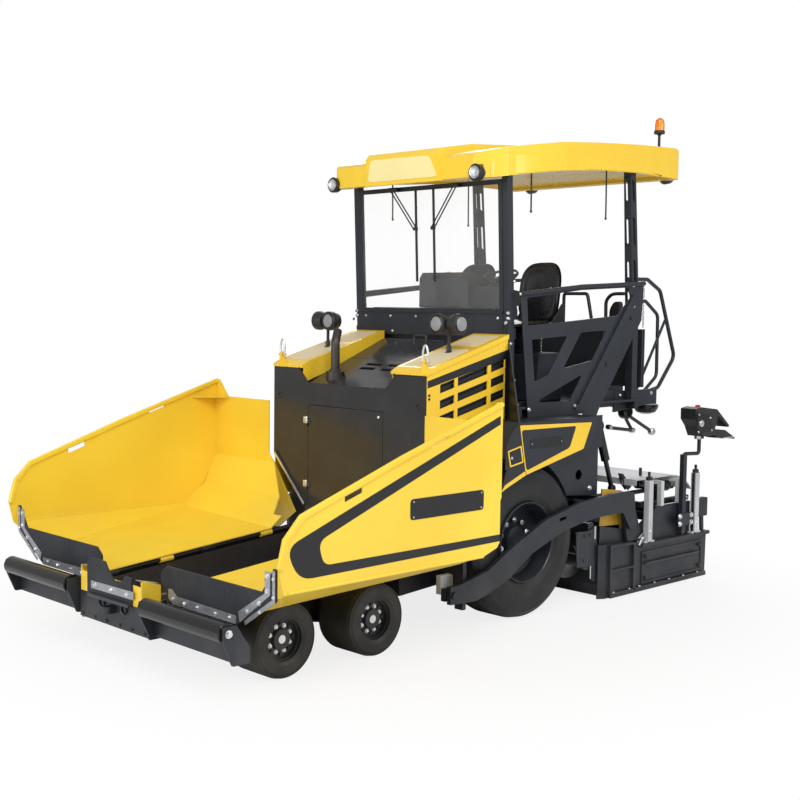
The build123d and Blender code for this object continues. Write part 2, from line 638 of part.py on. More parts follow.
def hood_panels():
    """Louvred sides, the sloping caps along the top and the walls of its recess."""
    side = plate_xz(
        [
            (HOOD_BACK_X, HOOD_LOW_Z), (660, HOOD_LOW_Z), (760, 1200), (760, 900), (HOOD_FRONT_X, 900),
            (HOOD_FRONT_X, HOOD_FRONT_Z), (HOOD_BACK_X, HOOD_BACK_Z),
        ],
        (HOOD_Y - HOOD_SHEET, HOOD_Y),
    )
    for row in range(LOUVRE_ROWS):
        for column in LOUVRE_COLUMNS:
            low = LOUVRE_TOP_Z - row * LOUVRE_PITCH - LOUVRE_HIGH
            if low > 1390 or column is LOUVRE_COLUMNS[0] and low > 1180:
                side = side - louvre(row, column)
    cap = plate_xz(
        [
            (HOOD_FRONT_X + 16, HOOD_FRONT_Z - 5), (HOOD_FRONT_X + 16, HOOD_FRONT_Z + 20), (900, HOOD_FRONT_Z + 56),
            (HOOD_BACK_X, HOOD_BACK_Z + 34), (HOOD_BACK_X, HOOD_BACK_Z - 5), (HOOD_FRONT_X, HOOD_FRONT_Z - 5),
        ],
        (RECESS_Y, HOOD_Y + 8),
    )
    hollow = plate_xz(
        [
            (HOOD_FRONT_X - 20, 1900), (HOOD_FRONT_X - 20, HOOD_FRONT_Z + 26), (890, HOOD_FRONT_Z + 44),
            (HOOD_BACK_X + 12, HOOD_BACK_Z + 18), (HOOD_BACK_X + 12, 1900),
        ],
        (RECESS_Y + 8, HOOD_Y - HOOD_SHEET),
    )
    recess_wall = plate_xz(
        [
            (HOOD_FRONT_X, 1925), (HOOD_FRONT_X, HOOD_FRONT_Z), (HOOD_BACK_X, HOOD_BACK_Z), (HOOD_BACK_X, 2250),
        ],
        (RECESS_Y, RECESS_Y + 8),
    )
    ear = plate_xz(
        [(955, HOOD_FRONT_Z), (885, HOOD_FRONT_Z + 40), (898, 2190), (935, 2190)], (888, 908), 8
    )
    ear = ear - rod((LIFT_EYE_X, 850, LIFT_EYE_Z), (LIFT_EYE_X, 950, LIFT_EYE_Z), LIFT_EYE_R)
    left = fuse(side, cap - hollow, recess_wall, ear)
    return left, mirrored(left)


def recess_z(x):
    """Height of the recess's floor at x."""
    return 1905 + (HOOD_FRONT_X - x) * 0.42


def hood_deck():
    """Dark floor of the hood's recess in front of the lid, with its grille slots."""
    deck_back_x = LID_FRONT_X + DOOR_GAP
    deck = plate_xz(
        [
            (HOOD_FRONT_X, recess_z(HOOD_FRONT_X) - 12), (HOOD_FRONT_X, recess_z(HOOD_FRONT_X)),
            (deck_back_x, recess_z(deck_back_x)), (deck_back_x, recess_z(deck_back_x) - 12),
        ],
        (-RECESS_Y, RECESS_Y),
    )
    for x in (480, 560):
        for y in (-230, 40):
            deck = deck - block((x, x + 46), (y, y + 190), (1900, 2400))
    return deck


def hood_lid():
    """Rear cover of the recess, with its grab handle."""
    back_x = HOOD_BACK_X + DOOR_GAP + 10
    lid = plate_xz(
        [
            (LID_FRONT_X, recess_z(LID_FRONT_X) - 12), (LID_FRONT_X, recess_z(LID_FRONT_X)),
            (back_x, recess_z(back_x)), (back_x, recess_z(back_x) - 12),
        ],
        (-RECESS_Y + DOOR_GAP, RECESS_Y - DOOR_GAP),
    )
    x0, x1 = 70, 130
    handle = bent_bar(
        [(x0, -75, recess_z(x0) - 4), (x0, -75, recess_z(x0) + 70), (x0, 75, recess_z(x0) + 70), (x0, 75, recess_z(x0) - 4)],
        11, 22,
    )
    return lid + handle


def exhaust():
    """Exhaust pipe that stands in the recess and bends to the rear."""
    base = above(
        rod((770, -350, 1920), (770, -350, recess_z(770) + 50), 80), (1000, recess_z(1000)), (500, recess_z(500))
    )
    pipe_run = bent_bar([(770, -350, 2020), (770, -350, 2290), (700, -400, 2380)], 38, 60)
    mouth = bent_bar([(770, -350, 2100), (770, -350, 2290), (700, -400, 2381)], 33, 60)
    return fuse(base, pipe_run) - mouth


# ---------------------------------------------------------------- fenders and platform
SKIRT_TOP_Z = 1665.0
ARCH_R = REAR_TYRE_R + 62
WHEEL_ROOM_Z = 2 * REAR_TYRE_R + 72      # underside of the box over the rear wheel
FENDER_BACK_X = -ARCH_R - 290


def fender():
    """Left fender: outer skirt, top, front corner panel and the wall behind the wheel."""
    skirt = plate_xz(
        [
            (400, 1105), (180, SKIRT_TOP_Z), (-870, SKIRT_TOP_Z), (-790, 1412), (-670, 1390), (90, 1225),
        ],
        (SKIRT_Y - SKIRT_PLATE, SKIRT_Y),
    )
    top = block((-870, 180), (HOOD_Y, SKIRT_Y - SKIRT_PLATE + 1), (SKIRT_TOP_Z - 10, SKIRT_TOP_Z))
    outer_x, outer_y = 180, SKIRT_Y - SKIRT_PLATE
    run = math.hypot(outer_x - HOOD_BACK_X, outer_y - HOOD_Y)
    back = (-12 * (outer_y - HOOD_Y) / run, 12 * (outer_x - HOOD_BACK_X) / run, 0)
    corner = outline(
        [
            (HOOD_BACK_X, HOOD_Y, WHEEL_ROOM_Z + 12), (HOOD_BACK_X, HOOD_Y, HOOD_BACK_Z - 15),
            (outer_x, outer_y, SKIRT_TOP_Z), (outer_x, outer_y, WHEEL_ROOM_Z + 12),
        ],
        (0, 0, 0), back,
    )
    under = SKIRT_TOP_Z - 10
    wall = plate_xz(
        [
            (-300, 1000), (-300, under), (FENDER_BACK_X - 130, under), (FENDER_BACK_X - 130, 1366),
            (FENDER_BACK_X - 75, 1366), (FENDER_BACK_X - 75, 940), (FENDER_BACK_X, 940),
        ],
        (1120, 1130),
    )
    wall = wall - rod((0, 1100, REAR_TYRE_R), (0, 1150, REAR_TYRE_R), ARCH_R)
    wall = wall - rod((-800, 1100, 1140), (-800, 1150, 1140), 45)
    liner = block((FENDER_BACK_X, FENDER_BACK_X + 10), (REAR_FRAME_Y, 1121), (960, under))
    inner_wall = block(
        (FENDER_BACK_X, HOOD_BACK_X - 12), (HOOD_Y - 10, HOOD_Y), (WHEEL_ROOM_Z + 12, SKIRT_TOP_Z)
    )
    roof_panel = block(
        (FENDER_BACK_X, 640), (REAR_FRAME_Y, HOOD_Y - HOOD_SHEET), (WHEEL_ROOM_Z, WHEEL_ROOM_Z + 10)
    )
    return fuse(skirt, top, corner, wall, liner, inner_wall, roof_panel)


PLATE_OUTLINE = (
    (-105, 2735), (-930, 2815), (-1760, 2862), (-1889, 2858), (-1862, 2503), (-1229, 1690), (-1120, 1480),
    (FENDER_BACK_X, 1480), (FENDER_BACK_X, SKIRT_TOP_Z), (-232, SKIRT_TOP_Z),
)
SEAT_Y = 400.0
SEAT_HALF = 220.0
PLATE_WINDOWS = (
    ((-190, 2690), (-930, 2768), (-1640, 2805), (-1682, 2713), (-1480, 2545), (-714, 2488), (-212, 2454)),
    ((-264, 2334), (-755, 2365), (-489, 2024), (-310, 1972)),
    ((-945, 2393), (-1322, 2410), (-1112, 2139), (-699, 2077)),
    ((-320, 1793), (-980, 2022), (-796, 1784)),
)


def platform_side():
    """Left side plate of the platform, with its cut-outs, rail and folded edge."""
    plate_part = plate_xz(PLATE_OUTLINE, (SIDE_Y - SIDE_PLATE, SIDE_Y))
    for window in PLATE_WINDOWS:
        plate_part = plate_part - plate_xz(window, (SIDE_Y - 60, SIDE_Y + 60), 14)
    strut = plate_xz(
        [(-1700, 2740), (-1760, 2690), (-940, 1700), (-860, 1700)], (SIDE_Y - 1, SIDE_Y + 22)
    )
    rail = bent_bar([(-110, SIDE_Y + 16, 2722), (-930, SIDE_Y + 16, 2800), (-1870, SIDE_Y + 16, 2848)], 20, 300)
    return fuse(plate_part, strut, rail)


def platform_deck():
    """Floor of the platform with its frame, front wall, rear step and the locker that stands on it."""
    inside = SIDE_Y - SIDE_PLATE
    floor = block((DECK_BACK_X, DECK_FRONT_X), (-inside, inside), (DECK_Z - 20, DECK_Z))
    beams = [
        block((DECK_BACK_X, DECK_FRONT_X), (y, y + 60), (DECK_Z - 100, DECK_Z - 19)) for y in (-640, 580)
    ]
    cross = [block((x, x + 60), (-inside, inside), (DECK_Z - 90, DECK_Z - 19)) for x in (-1860, -1000, -160)]
    wall = block((DECK_FRONT_X - 10, DECK_FRONT_X), (-884, 884), (DECK_Z - 1, 2350))
    legs = [
        block((x, x + 80), (y, y + 60), (1250, DECK_Z - 99)) for x in (-860, -320) for y in (-640, 580)
    ]
    step_beams = [
        plate_xz([(-1607, 1640), (-1607, 1740), (-2294, 1825), (-2294, 1705), (-1640, 1640)], (y, y + 14))
        for y in (-900, 886)
    ]
    step = block((-2290, DECK_BACK_X + 5), (-899, 899), (DECK_Z - 12, DECK_Z))
    cabinet = block((-2280, -1930), (-300, 520), (DECK_Z - 1, 2400))
    lip = block((-2295, -1915), (-315, 535), (2400, 2418))
    return fuse(floor, *beams, *cross, wall, *legs, *step_beams, step, cabinet, lip)


def access_rail():
    """Left pair of bent rails beside the rear step, with the brace between them."""
    outer = bent_bar(
        [(-1890, 820, 2890), (-2257, 790, 2897), (-2524, 760, 2791), (-2816, 750, 2135), (-2540, 750, 1830), (-2280, 750, 1790)],
        19, 90,
    )
    inner = bent_bar([(-1890, 820, 2640), (-2230, 790, 2690), (-2479, 770, 2552), (-2499, 760, 1950), (-2280, 760, 1800)], 17, 80)
    brace = rod((-1980, 870, 1790), (-2633, 752, 2500), 14)
    return fuse(outer, inner, brace)


def console():
    """Operator's console on its pedestal, with levers and the side wing."""
    head = plate_xz(
        [(-150, 2600), (-150, 2860), (-190, 2915), (-300, 2905), (-560, 2760), (-560, 2700), (-420, 2590)], (-240, 360), 10
    )
    wing_part = plate_xz([(-190, 2600), (-190, 2790), (-560, 2740), (-560, 2680), (-420, 2600)], (360, 680))
    pedestal = block((-420, -230), (-60, 180), (DECK_Z, 2601))
    rail = rod((-170, -860, 2575), (-170, 860, 2575), 22)
    levers = [rod((-440, y, 2740), (-440, y, 2900), 9) + Pos(-440, y, 2910) * Sphere(20) for y in (-150, 520)]
    return fuse(head, wing_part, pedestal, rail, *levers)


def seat():
    """Left bucket seat on its pedestal."""
    base = block((-1080, -710), (SEAT_Y - 160, SEAT_Y + 160), (DECK_Z, 2240))
    plinth = block((-1030, -770), (SEAT_Y - 120, SEAT_Y + 120), (2240, 2330))
    pan = plate_xz(
        [
            (-570, 2330), (-570, 2420), (-650, 2440), (-990, 2400), (-1070, 2560), (-1140, 3020), (-1190, 3040),
            (-1190, 2990), (-1130, 2500), (-1080, 2330),
        ],
        (SEAT_Y - SEAT_HALF, SEAT_Y + SEAT_HALF), 16,
    )
    arms = []
    for y in (SEAT_Y - SEAT_HALF - 20, SEAT_Y + SEAT_HALF - 20):
        arms.append(block((-1100, -710), (y, y + 40), (2600, 2640)) + block((-1130, -1080), (y, y + 40), (2520, 2640)))
    return fuse(base, plinth, pan, *arms)


# ---------------------------------------------------------------- screen, posts and roof
SCREEN_LEAN = 2.6
SCREEN_FOOT_Z = 2350.0
GLASS_LOW_Z = 2590.0
GLASS_TOP_Z = 3640.0
FRONT_POST_TOP_Z = GLASS_TOP_Z + 84
REAR_POST_TOP_Z = 3886.0
SCREEN_Y = 890.0


def leaned(shape):
    """Tips a piece forward about the foot of the windscreen."""
    return Pos(SCREEN_X, 0, SCREEN_FOOT_Z) * Rot(0, SCREEN_LEAN, 0) * Pos(-SCREEN_X, 0, -SCREEN_FOOT_Z) * shape


def windscreen_frame():
    """Lower panel, frame round the glass and the two wipers."""
    frame = plate_yz(
        [
            (-SCREEN_Y, SCREEN_FOOT_Z), (SCREEN_Y, SCREEN_FOOT_Z), (SCREEN_Y, GLASS_TOP_Z + 40),
            (-SCREEN_Y, GLASS_TOP_Z + 40),
        ],
        (SCREEN_X - 30, SCREEN_X),
    )
    window = plate_yz(
        [
            (-SCREEN_Y + 40, GLASS_LOW_Z), (SCREEN_Y - 40, GLASS_LOW_Z),
            (SCREEN_Y - 40, GLASS_TOP_Z), (-SCREEN_Y + 40, GLASS_TOP_Z),
        ],
        (SCREEN_X - 60, SCREEN_X + 60),
        radius=20,
    )
    frame = frame - window
    fold = block((SCREEN_X - 2, SCREEN_X + 16), (-SCREEN_Y, SCREEN_Y), (GLASS_LOW_Z - 35, GLASS_LOW_Z - 20))
    wipers = []
    for side in (1, -1):
        motor = block((SCREEN_X - 1, SCREEN_X + 50), sorted((side * 330, side * 430)), (GLASS_TOP_Z + 2, GLASS_TOP_Z + 38))
        top, grip = GLASS_TOP_Z + 10, GLASS_TOP_Z - 340
        arms = [
            rod((SCREEN_X + 40, side * (y + 20), top), (SCREEN_X + 34, side * (y - 260), grip), 6) for y in (350, 390)
        ]
        blade = block((SCREEN_X + 22, SCREEN_X + 36), sorted((side * 84, side * 134)), (grip - 15, grip + 15)) + block(
            (SCREEN_X + 8, SCREEN_X + 28), sorted((side * 104, side * 116)), (grip - 470, GLASS_TOP_Z)
        )
        wipers.append(fuse(motor, *arms, blade))
    return leaned(fuse(frame, fold, *wipers))


def windscreen_glass():
    edge = 1.0
    glass = plate_yz(
        [
            (-SCREEN_Y + 40 + edge, GLASS_LOW_Z + edge), (SCREEN_Y - 40 - edge, GLASS_LOW_Z + edge),
            (SCREEN_Y - 40 - edge, GLASS_TOP_Z - edge), (-SCREEN_Y + 40 + edge, GLASS_TOP_Z - edge),
        ],
        (SCREEN_X - 18, SCREEN_X - 10),
        radius=20,
    )
    return leaned(glass)


def front_post():
    """Left front post, from the platform to the roof."""
    width = (SCREEN_Y, SCREEN_Y + 60)
    foot = block((SCREEN_X - 75, SCREEN_X - 5), width, (DECK_Z, SCREEN_FOOT_Z + 2))
    post = block((SCREEN_X - 75, SCREEN_X - 5), width, (SCREEN_FOOT_Z, FRONT_POST_TOP_Z))
    shoulder = block((SCREEN_X - 95, SCREEN_X + 5), width, (SCREEN_FOOT_Z - 10, SCREEN_FOOT_Z + 70))
    return fuse(foot, leaned(post + shoulder))


def rear_post():
    """Left rear post: tapered, with windows cut through both ways."""
    post = plate_xz(
        [(-1850, 2520), (-1740, 2520), (-1660, REAR_POST_TOP_Z), (-1740, REAR_POST_TOP_Z)],
        (SIDE_Y - 100, SIDE_Y - 20),
    )
    for low, high in ((2620, 2800), (2843, 3080), (3186, 3473), (3584, 3815)):
        foot_x, top_x = (-1797 + (z - 2520) * 0.073 for z in (low, high))
        sides = [(foot_x - 20, low), (foot_x + 20, low + 40), (top_x + 20, high), (top_x - 20, high - 40)]
        faces = [(SIDE_Y - 92, low), (SIDE_Y - 48, low + 40), (SIDE_Y - 48, high), (SIDE_Y - 92, high - 40)]
        post = post - plate_xz(sides, (SIDE_Y - 200, SIDE_Y), 6)
        post = post - plate_yz(faces, (-2000, -1500), 6)
    foot = block((-1840, -1760), (SIDE_Y - 100, SIDE_Y - 20), (DECK_Z, 2530))
    return post + foot


ROOF_EDGE = (
    # (x, z of the lower edge, z of the upper edge) along the roof's side
    (330, 3674, 3850), (290, 3668, 3880), (100, 3690, 3925), (-150, 3730, 3968), (-600, 3790, 4035),
    (-1100, 3835, 4078), (-1700, 3860, 4118), (-2300, 3855, 4142), (-2380, 3850, 4120),
)
ROOF_NOSE_Y = 880.0      # half width at the front
ROOF_SHEET = 26.0
LINING_RISE = 28.0       # from the roof's lower edge up to its lining
LINING_THICK = 10.0
BEACON = (-2260.0, 880.0)
BEACON_FOOT_Z = ROOF_EDGE[-2][2] + 150
BROW = ((352, 3664), (352, 3900), (312, 3946), (-100, 4018), (-700, 4064), (-1200, 4088))
BROW_Y = (-455.0, -425.0, 385.0, 515.0)   # its lower and upper corners, from right to left
LAMP = (262.0, 880.0, 3708.0)            # middle of the back of the left front lamp
LAMP_R = 70.0


def roof_plan(inset, low, high):
    """The roof's outline seen from above, drawn in by inset."""
    front, back = ROOF_EDGE[0][0] - inset, ROOF_EDGE[-1][0] + inset
    nose, wide = ROOF_NOSE_Y - inset, ROOF_Y - inset
    points = [(front, nose - 20), (60, nose + 100), (-650, wide), (back, wide)]
    return plate_xy(points + [(x, -y) for x, y in reversed(points)], (low, high), 30)


def roof():
    """Arched roof: sheet top and deep sides, a lining below, and the brow over the windscreen."""
    lower = [(x, z) for x, z, _ in ROOF_EDGE]
    upper = [(x, z) for x, _, z in ROOF_EDGE]
    wide = (-ROOF_Y, ROOF_Y)
    whole = plate_xz(lower + upper[::-1], wide) & roof_plan(0, 3500, 4300)
    hollow = plate_xz([(x, z - 60) for x, z in lower[1:-1]] + [(x, z - ROOF_SHEET) for x, z in upper[-2:0:-1]], wide)
    hollow = hollow & roof_plan(ROOF_SHEET, 3500, 4300)
    foot = BROW[0][1] + 20
    brow = plate_xz([*BROW, (BROW[-1][0], BROW[-1][1] - 40), (-100, 3935), (290, 3860), (310, foot)], (-600, 600))
    brow = brow & plate_yz(
        [(BROW_Y[0], 3600), (BROW_Y[1], 4200), (BROW_Y[2], 4200), (BROW_Y[3], 3600)], (BROW[-1][0] - 10, BROW[0][0] + 10)
    )
    lining = plate_xz(
        [(x, z + LINING_RISE) for x, z in lower[1:-1]]
        + [(x, z + LINING_RISE + LINING_THICK) for x, z in lower[-2:0:-1]],
        wide,
    )
    lining = lining & roof_plan(ROOF_SHEET + SEAT_GAP, 3500, 4300)
    x, y, z = LAMP
    pockets = [rod((x - 5, side * y, z), (x + 200, side * y, z), LAMP_R + SEAT_GAP) for side in (1, -1)]
    return (whole + brow) - hollow - pockets[0] - pockets[1], lining - pockets[0] - pockets[1]


def work_lamps():
    """Lamps at the roof's corners and the double lamps on the hood."""
    lamps = []
    for side in (1, -1):
        profile = [(0, 0), (LAMP_R - 30, 0), (LAMP_R - 4, 40), (LAMP_R, 90), (LAMP_R - 12, 96), (0, 88)]
        front = turned(profile, (LAMP[0], side * LAMP[1], LAMP[2]), "x")
        lamps.append(front)
        rear = turned([(0, 0), (50, 0), (70, -40), (60, -90), (0, -96)], (ROOF_EDGE[-1][0], side * 850, 3890), "x")
        lamps.append(rear)
        y = side * 760
        post = above(rod((500, y, 2200), (500, y, 2440), 14), (900, HOOD_FRONT_Z + 56), (HOOD_BACK_X, HOOD_BACK_Z + 34))
        ahead = turned([(0, -60), (70, -40), (86, 20), (86, 60), (74, 66), (0, 56)], (510, y - side * 80, 2465), "x")
        aside = turned(
            [(0, -side * 60), (70, -side * 40), (86, side * 20), (86, side * 60), (74, side * 66), (0, side * 56)],
            (500, y + side * 75, 2465), "y",
        )
        bridge = block((485, 515), sorted((y - side * 60, y + side * 60)), (2430, 2450))
        lamps.append(fuse(post, ahead, aside, bridge))
    return lamps


def beacon():
    """Turning beacon on its stem at the back of the roof."""
    x, y = BEACON
    (x0, _, z0), (x1, _, z1) = ROOF_EDGE[-3], ROOF_EDGE[-2]
    stem = above(rod((x, y, z0 - 20), (x, y, BEACON_FOOT_Z), 12), (x0, z0), (x1, z1))
    lens = turned([(0, 0), (48, 0), (48, 90), (40, 128), (18, 146), (0, 148)], (0, 0, 0), "y")
    return stem + Pos(x, y, BEACON_FOOT_Z - 1) * Rot(90, 0, 0) * lens


# ---------------------------------------------------------------- augers and screed
ARM_TOP = (
    (990, 420), (878, 425), (565, 489), (216, 664), (-174, 828), (-641, 928), (-1255, 966), (-1432, 940),
)
ARM_LOW = (
    (-1475, 600), (-1380, 610), (-1263, 775), (-977, 774), (-701, 753), (-384, 697), (18, 559), (304, 385),
    (560, 300), (696, 268), (990, 280),
)
SCREED_BACK_X = -1720.0
EXT_FRONT_X = SCREED_BACK_X - 12
EXT_BACK_X = -2540.0
GUIDE_XS = (-1950.0, -2350.0)
GUIDE_Z = 640.0
GUIDE_R = 42.0
CARRIAGE_Y = (40.0, 205.0)
HANGER_Y = (SCREED_HALF - 40, SCREED_HALF - 12)
SCREED_BEAM_Y = SCREED_HALF - 31
WALK_HALF = SCREED_HALF - 90
WALK_Z = 1024.0
WALK_PLATE = 10.0
GUARD_Y = (SCREED_HALF - 54, SCREED_HALF - 44)
GUARD_TOP_Z = 664.0
LIFT_Y = 1070.0


def auger_frame():
    """Centre drive, cross beam, end bearings and guard plates of the augers."""
    gearbox = block((AUGER_X - 90, AUGER_X + 90), (-70, 70), (AUGER_Z - 100, 734))
    inner = GUARD_Y[0]
    beam = block((AUGER_X - 90, AUGER_X - 10), (6 - inner, inner - 6), (600, 700))
    hangers = [block((AUGER_X - 60, AUGER_X), (y, y + 120), (690, 860)) for y in (-560, 440)]
    ends = []
    for side in (1, -1):
        bearing = rod((AUGER_X, side * (inner - 36), AUGER_Z), (AUGER_X, side * inner, AUGER_Z), 75)
        arm = block((AUGER_X - 60, AUGER_X), sorted((side * (inner - 30), side * (inner - 6))), (AUGER_Z, 640))
        guard = plate_xz(
            [
                (-700, 640), (-880, 640), (-1000, GUARD_TOP_Z), (-1000, 160), (-935, 188), (-950, 300), (-850, 326),
                (-720, 326),
            ],
            sorted((side * GUARD_Y[0], side * GUARD_Y[1])),
        )
        shaft = rod((AUGER_X, side * (inner - 86), AUGER_Z), (AUGER_X, side * (inner - 26), AUGER_Z), AUGER_SHAFT_R)
        ends.append(fuse(bearing, arm, guard, shaft))
    inner_shaft = rod((AUGER_X, -110, AUGER_Z), (AUGER_X, 110, AUGER_Z), AUGER_SHAFT_R)
    return fuse(gearbox, beam, *hangers, *ends, inner_shaft)


def auger():
    """Left auger: tube and helical flight."""
    tube = rod((AUGER_X, 82, AUGER_Z), (AUGER_X, GUARD_Y[0] - 46, AUGER_Z), AUGER_TUBE_R)
    path = Helix(pitch=FLIGHT_PITCH, height=FLIGHT_LONG, radius=(AUGER_R + AUGER_TUBE_R - 4) / 2)
    start = path @ 0
    section = Plane(start, x_dir=Vector(start.X, start.Y, 0), z_dir=path % 0) * Rectangle(
        AUGER_R - AUGER_TUBE_R + 4, FLIGHT_THICK
    )
    flight = Pos(AUGER_X, 112, AUGER_Z) * Rot(-90, 0, 0) * sweep(section, path=path, is_frenet=True)
    return tube + flight - rod((AUGER_X, 60, AUGER_Z), (AUGER_X, GUARD_Y[0] - 26, AUGER_Z), AUGER_SHAFT_R + PIN_GAP)


def tow_arms():
    """S-shaped arms, each with its bore on the tow pin and a foot on the screed."""
    arm = plate_xz([*ARM_TOP, *ARM_LOW], (ARM_Y, ARM_Y + ARM_PLATE))
    through = (ARM_Y - 46, ARM_Y + 154)
    arm = arm - rod((TOW_X, through[0], TOW_Z), (TOW_X, through[1], TOW_Z), TOW_PIN_R + PIN_GAP)
    arm = arm - plate_xz([(-349, 790), (-349, 820), (-445, 834), (-445, 804)], through, 12)
    return arm, mirrored(arm)


def screed_body():
    """Base screed: box over its sole plate, top beam, arm brackets, side walls, guide tubes and cheek plates."""
    box = block((SCREED_BACK_X, -1100), (-SCREED_HALF + 10, SCREED_HALF - 10), (GROUND_GAP, 300))
    front = plate_xz([(-1101, GROUND_GAP + 20), (-1101, 300), (-1075, 290), (-1060, 120)], (-SCREED_HALF + 10, SCREED_HALF - 10))
    beam = block((-1600, -1420), (-SCREED_BEAM_Y, SCREED_BEAM_Y), (420, 620))
    outer = SCREED_BEAM_Y - 109
    posts = [block((-1580, -1440), (y - 40, y + 40), (299, 421)) for y in (-outer, -500, 0, 500, outer)]
    brackets = [
        plate_xz([(-1400, 490), (-1340, 760), (-1380, 900), (-1460, 900), (-1600, 560), (-1600, 490)], (y, y + 36))
        for y in (ARM_Y - 38, -ARM_Y + 2)
    ]
    walls = [
        plate_xz([(-1590, 470), (-1590, 600), (-1880, 760), (-2440, 760), (-2440, 330), (-1760, 330), (-1700, 470)], y)
        for y in (HANGER_Y, (-HANGER_Y[1], -HANGER_Y[0]))
    ]
    hanger = plate_xz(
        [(-1590, 470), (-1590, 600), (-1880, 760), (-2440, 760), (-2440, 560), (-1880, 560), (-1700, 470)], (-22, 22)
    )
    cheeks = both(
        plate_xz([(-1040, GUARD_TOP_Z), (-1430, 590), (-1430, 440), (-1040, 440)], GUARD_Y)
    )
    plates = both(
        plate_xz(
            [
                (-1075, 650), (-1110, 990), (-1400, 950), (-1478, 700), (-1590, 590), (-1590, 452), (-1420, 452),
                (-1380, 640),
            ],
            (HANGER_Y[0] - 50, HANGER_Y[0] - 38), 12,
        )
    )
    tubes = [rod((x, -HANGER_Y[0] - 5, GUIDE_Z), (x, HANGER_Y[0] + 5, GUIDE_Z), GUIDE_R) for x in GUIDE_XS]
    return fuse(box, front, beam, *posts, *brackets, *walls, hanger, *cheeks, *plates, *tubes)


def walkway():
    """Tread plate over the screed, rolled down behind, with its legs and ribs."""
    wide = (-WALK_HALF, WALK_HALF)
    leg_y = sum(HANGER_Y) / 2
    fall = [(-2200, 0), (-2330, -14), (-2440, -52), (-2530, -112), (-2572, -160)]
    top = [(-1640, WALK_Z), *((x, WALK_Z + z) for x, z in fall)]
    under = [(-1640, WALK_Z - WALK_PLATE), *((x + 6, WALK_Z + z - WALK_PLATE) for x, z in fall)]
    deck = plate_xz([*top, *reversed(under)], wide)
    front = block((-1652, -1640), wide, (WALK_Z - 60, WALK_Z - WALK_PLATE + 1))
    seam = [
        plate_xz([(-2380, WALK_Z - 62), (-1980, WALK_Z - 62), (-1980, WALK_Z - 11), (-2200, WALK_Z - 11), (-2380, WALK_Z - 30)], y)
        for y in ((-22, 22), (400, 430), (-430, -400))
    ]
    legs = []
    outriggers = []
    for x in (-2280, -1980):
        top_z = WALK_Z - WALK_PLATE - 20
        legs += [block((x, x + 50), (y - 22, y + 22), (760, top_z)) for y in (-leg_y, 0, leg_y)]
        outriggers.append(block((x, x + 50), (-leg_y - 22, leg_y + 22), (top_z - 30, top_z)))
    return fuse(deck, front, *seam, *legs, *outriggers)


def extension():
    """Left screed extension: box, carriage on the guide tubes, end plate and its spindles."""
    box = block((EXT_BACK_X, EXT_FRONT_X), (12, SCREED_HALF + 1), (GROUND_GAP, 300))
    inner = [
        plate_xz([(-1880, 299), (-1880, 720), (-2420, 720), (-2420, 299)], (y, y + 28), 20) for y in CARRIAGE_Y
    ]
    tie = block((-2420, -2400), (CARRIAGE_Y[0], CARRIAGE_Y[1] + 28), (299, 420))
    end = plate_xz(
        [(-1096, 500), (-1087, GROUND_GAP), (-2680, GROUND_GAP), (-2690, 450), (-1560, 450), (-1453, 482)],
        (SCREED_HALF + 1, SCREED_HALF + 19),
    )
    nose = plate_xy(
        [
            (-1052, SCREED_HALF + 1), (-996, SCREED_HALF - 34), (-988, SCREED_HALF - 18), (-1048, SCREED_HALF + 19),
            (-1100, SCREED_HALF + 19), (-1100, SCREED_HALF + 1),
        ],
        (GROUND_GAP, 500),
    )
    head = block((-2690, -1560), (SCREED_HALF + 1, SCREED_HALF + 60), (420, 452))
    sole = block((-2660, -1100), (SCREED_HALF + 18, SCREED_HALF + 48), (GROUND_GAP, 40))
    out = (SCREED_HALF + 18, SCREED_HALF + 48)
    ribs = [
        plate_xz([(-1445, 39), (-1445, 478), (-1475, 478), (-1475, 39)], out),
        plate_xz([(-1090, 39), (-1090, 495), (-1115, 495), (-1115, 39)], out),
        block((-1450, -1110), out, (250, 268)),
        plate_xz([(-1100, 470), (-1100, 496), (-1460, 480), (-1460, 462)], out),
        block((-2540, -1630), out, (250, 268)),
    ]
    frame_points = [(-1600, 370), (-1600, 70), (-2620, 70), (-2600, 370)]
    panel = plate_xz(frame_points, (SCREED_HALF + 18, SCREED_HALF + 30), 8)
    ribs.append(panel - plate_xz([(-1622, 350), (-1622, 90), (-2596, 90), (-2580, 350)], out, 8))
    spindles = [rod((x, SCREED_HALF + 40, 450), (x, SCREED_HALF + 40, 1040), 28) for x in (-1665, -2430)]
    whole = fuse(box, *inner, tie, end, nose, head, sole, *ribs, *spindles)
    for x in GUIDE_XS:
        whole = whole - rod((x, 0, GUIDE_Z), (x, 400, GUIDE_Z), GUIDE_R + 1.0)
    return whole


def lift_cylinder():
    """Left screed lift cylinder on its bracket behind the fender, its rod's eye over the tow arm."""
    y = LIFT_Y
    bracket = block((-1185, FENDER_BACK_X), (y - 50, y - 20), (1505, 1595))
    pin = rod((-1146, y - 21, 1550), (-1146, y + 26, 1550), 26)
    head = rod((-1146, y - 20, 1550), (-1146, y + 30, 1550), 50)
    barrel = rod((-1148, y, 1546), (-1270, y, 1232), 40)
    piston = rod((-1262, y, 1254), (-1370, y, 976), 22)
    eye = rod((-1376, y - 20, 960), (-1376, y + 20, 960), 36)
    return fuse(bracket, pin, head, barrel, piston, eye)


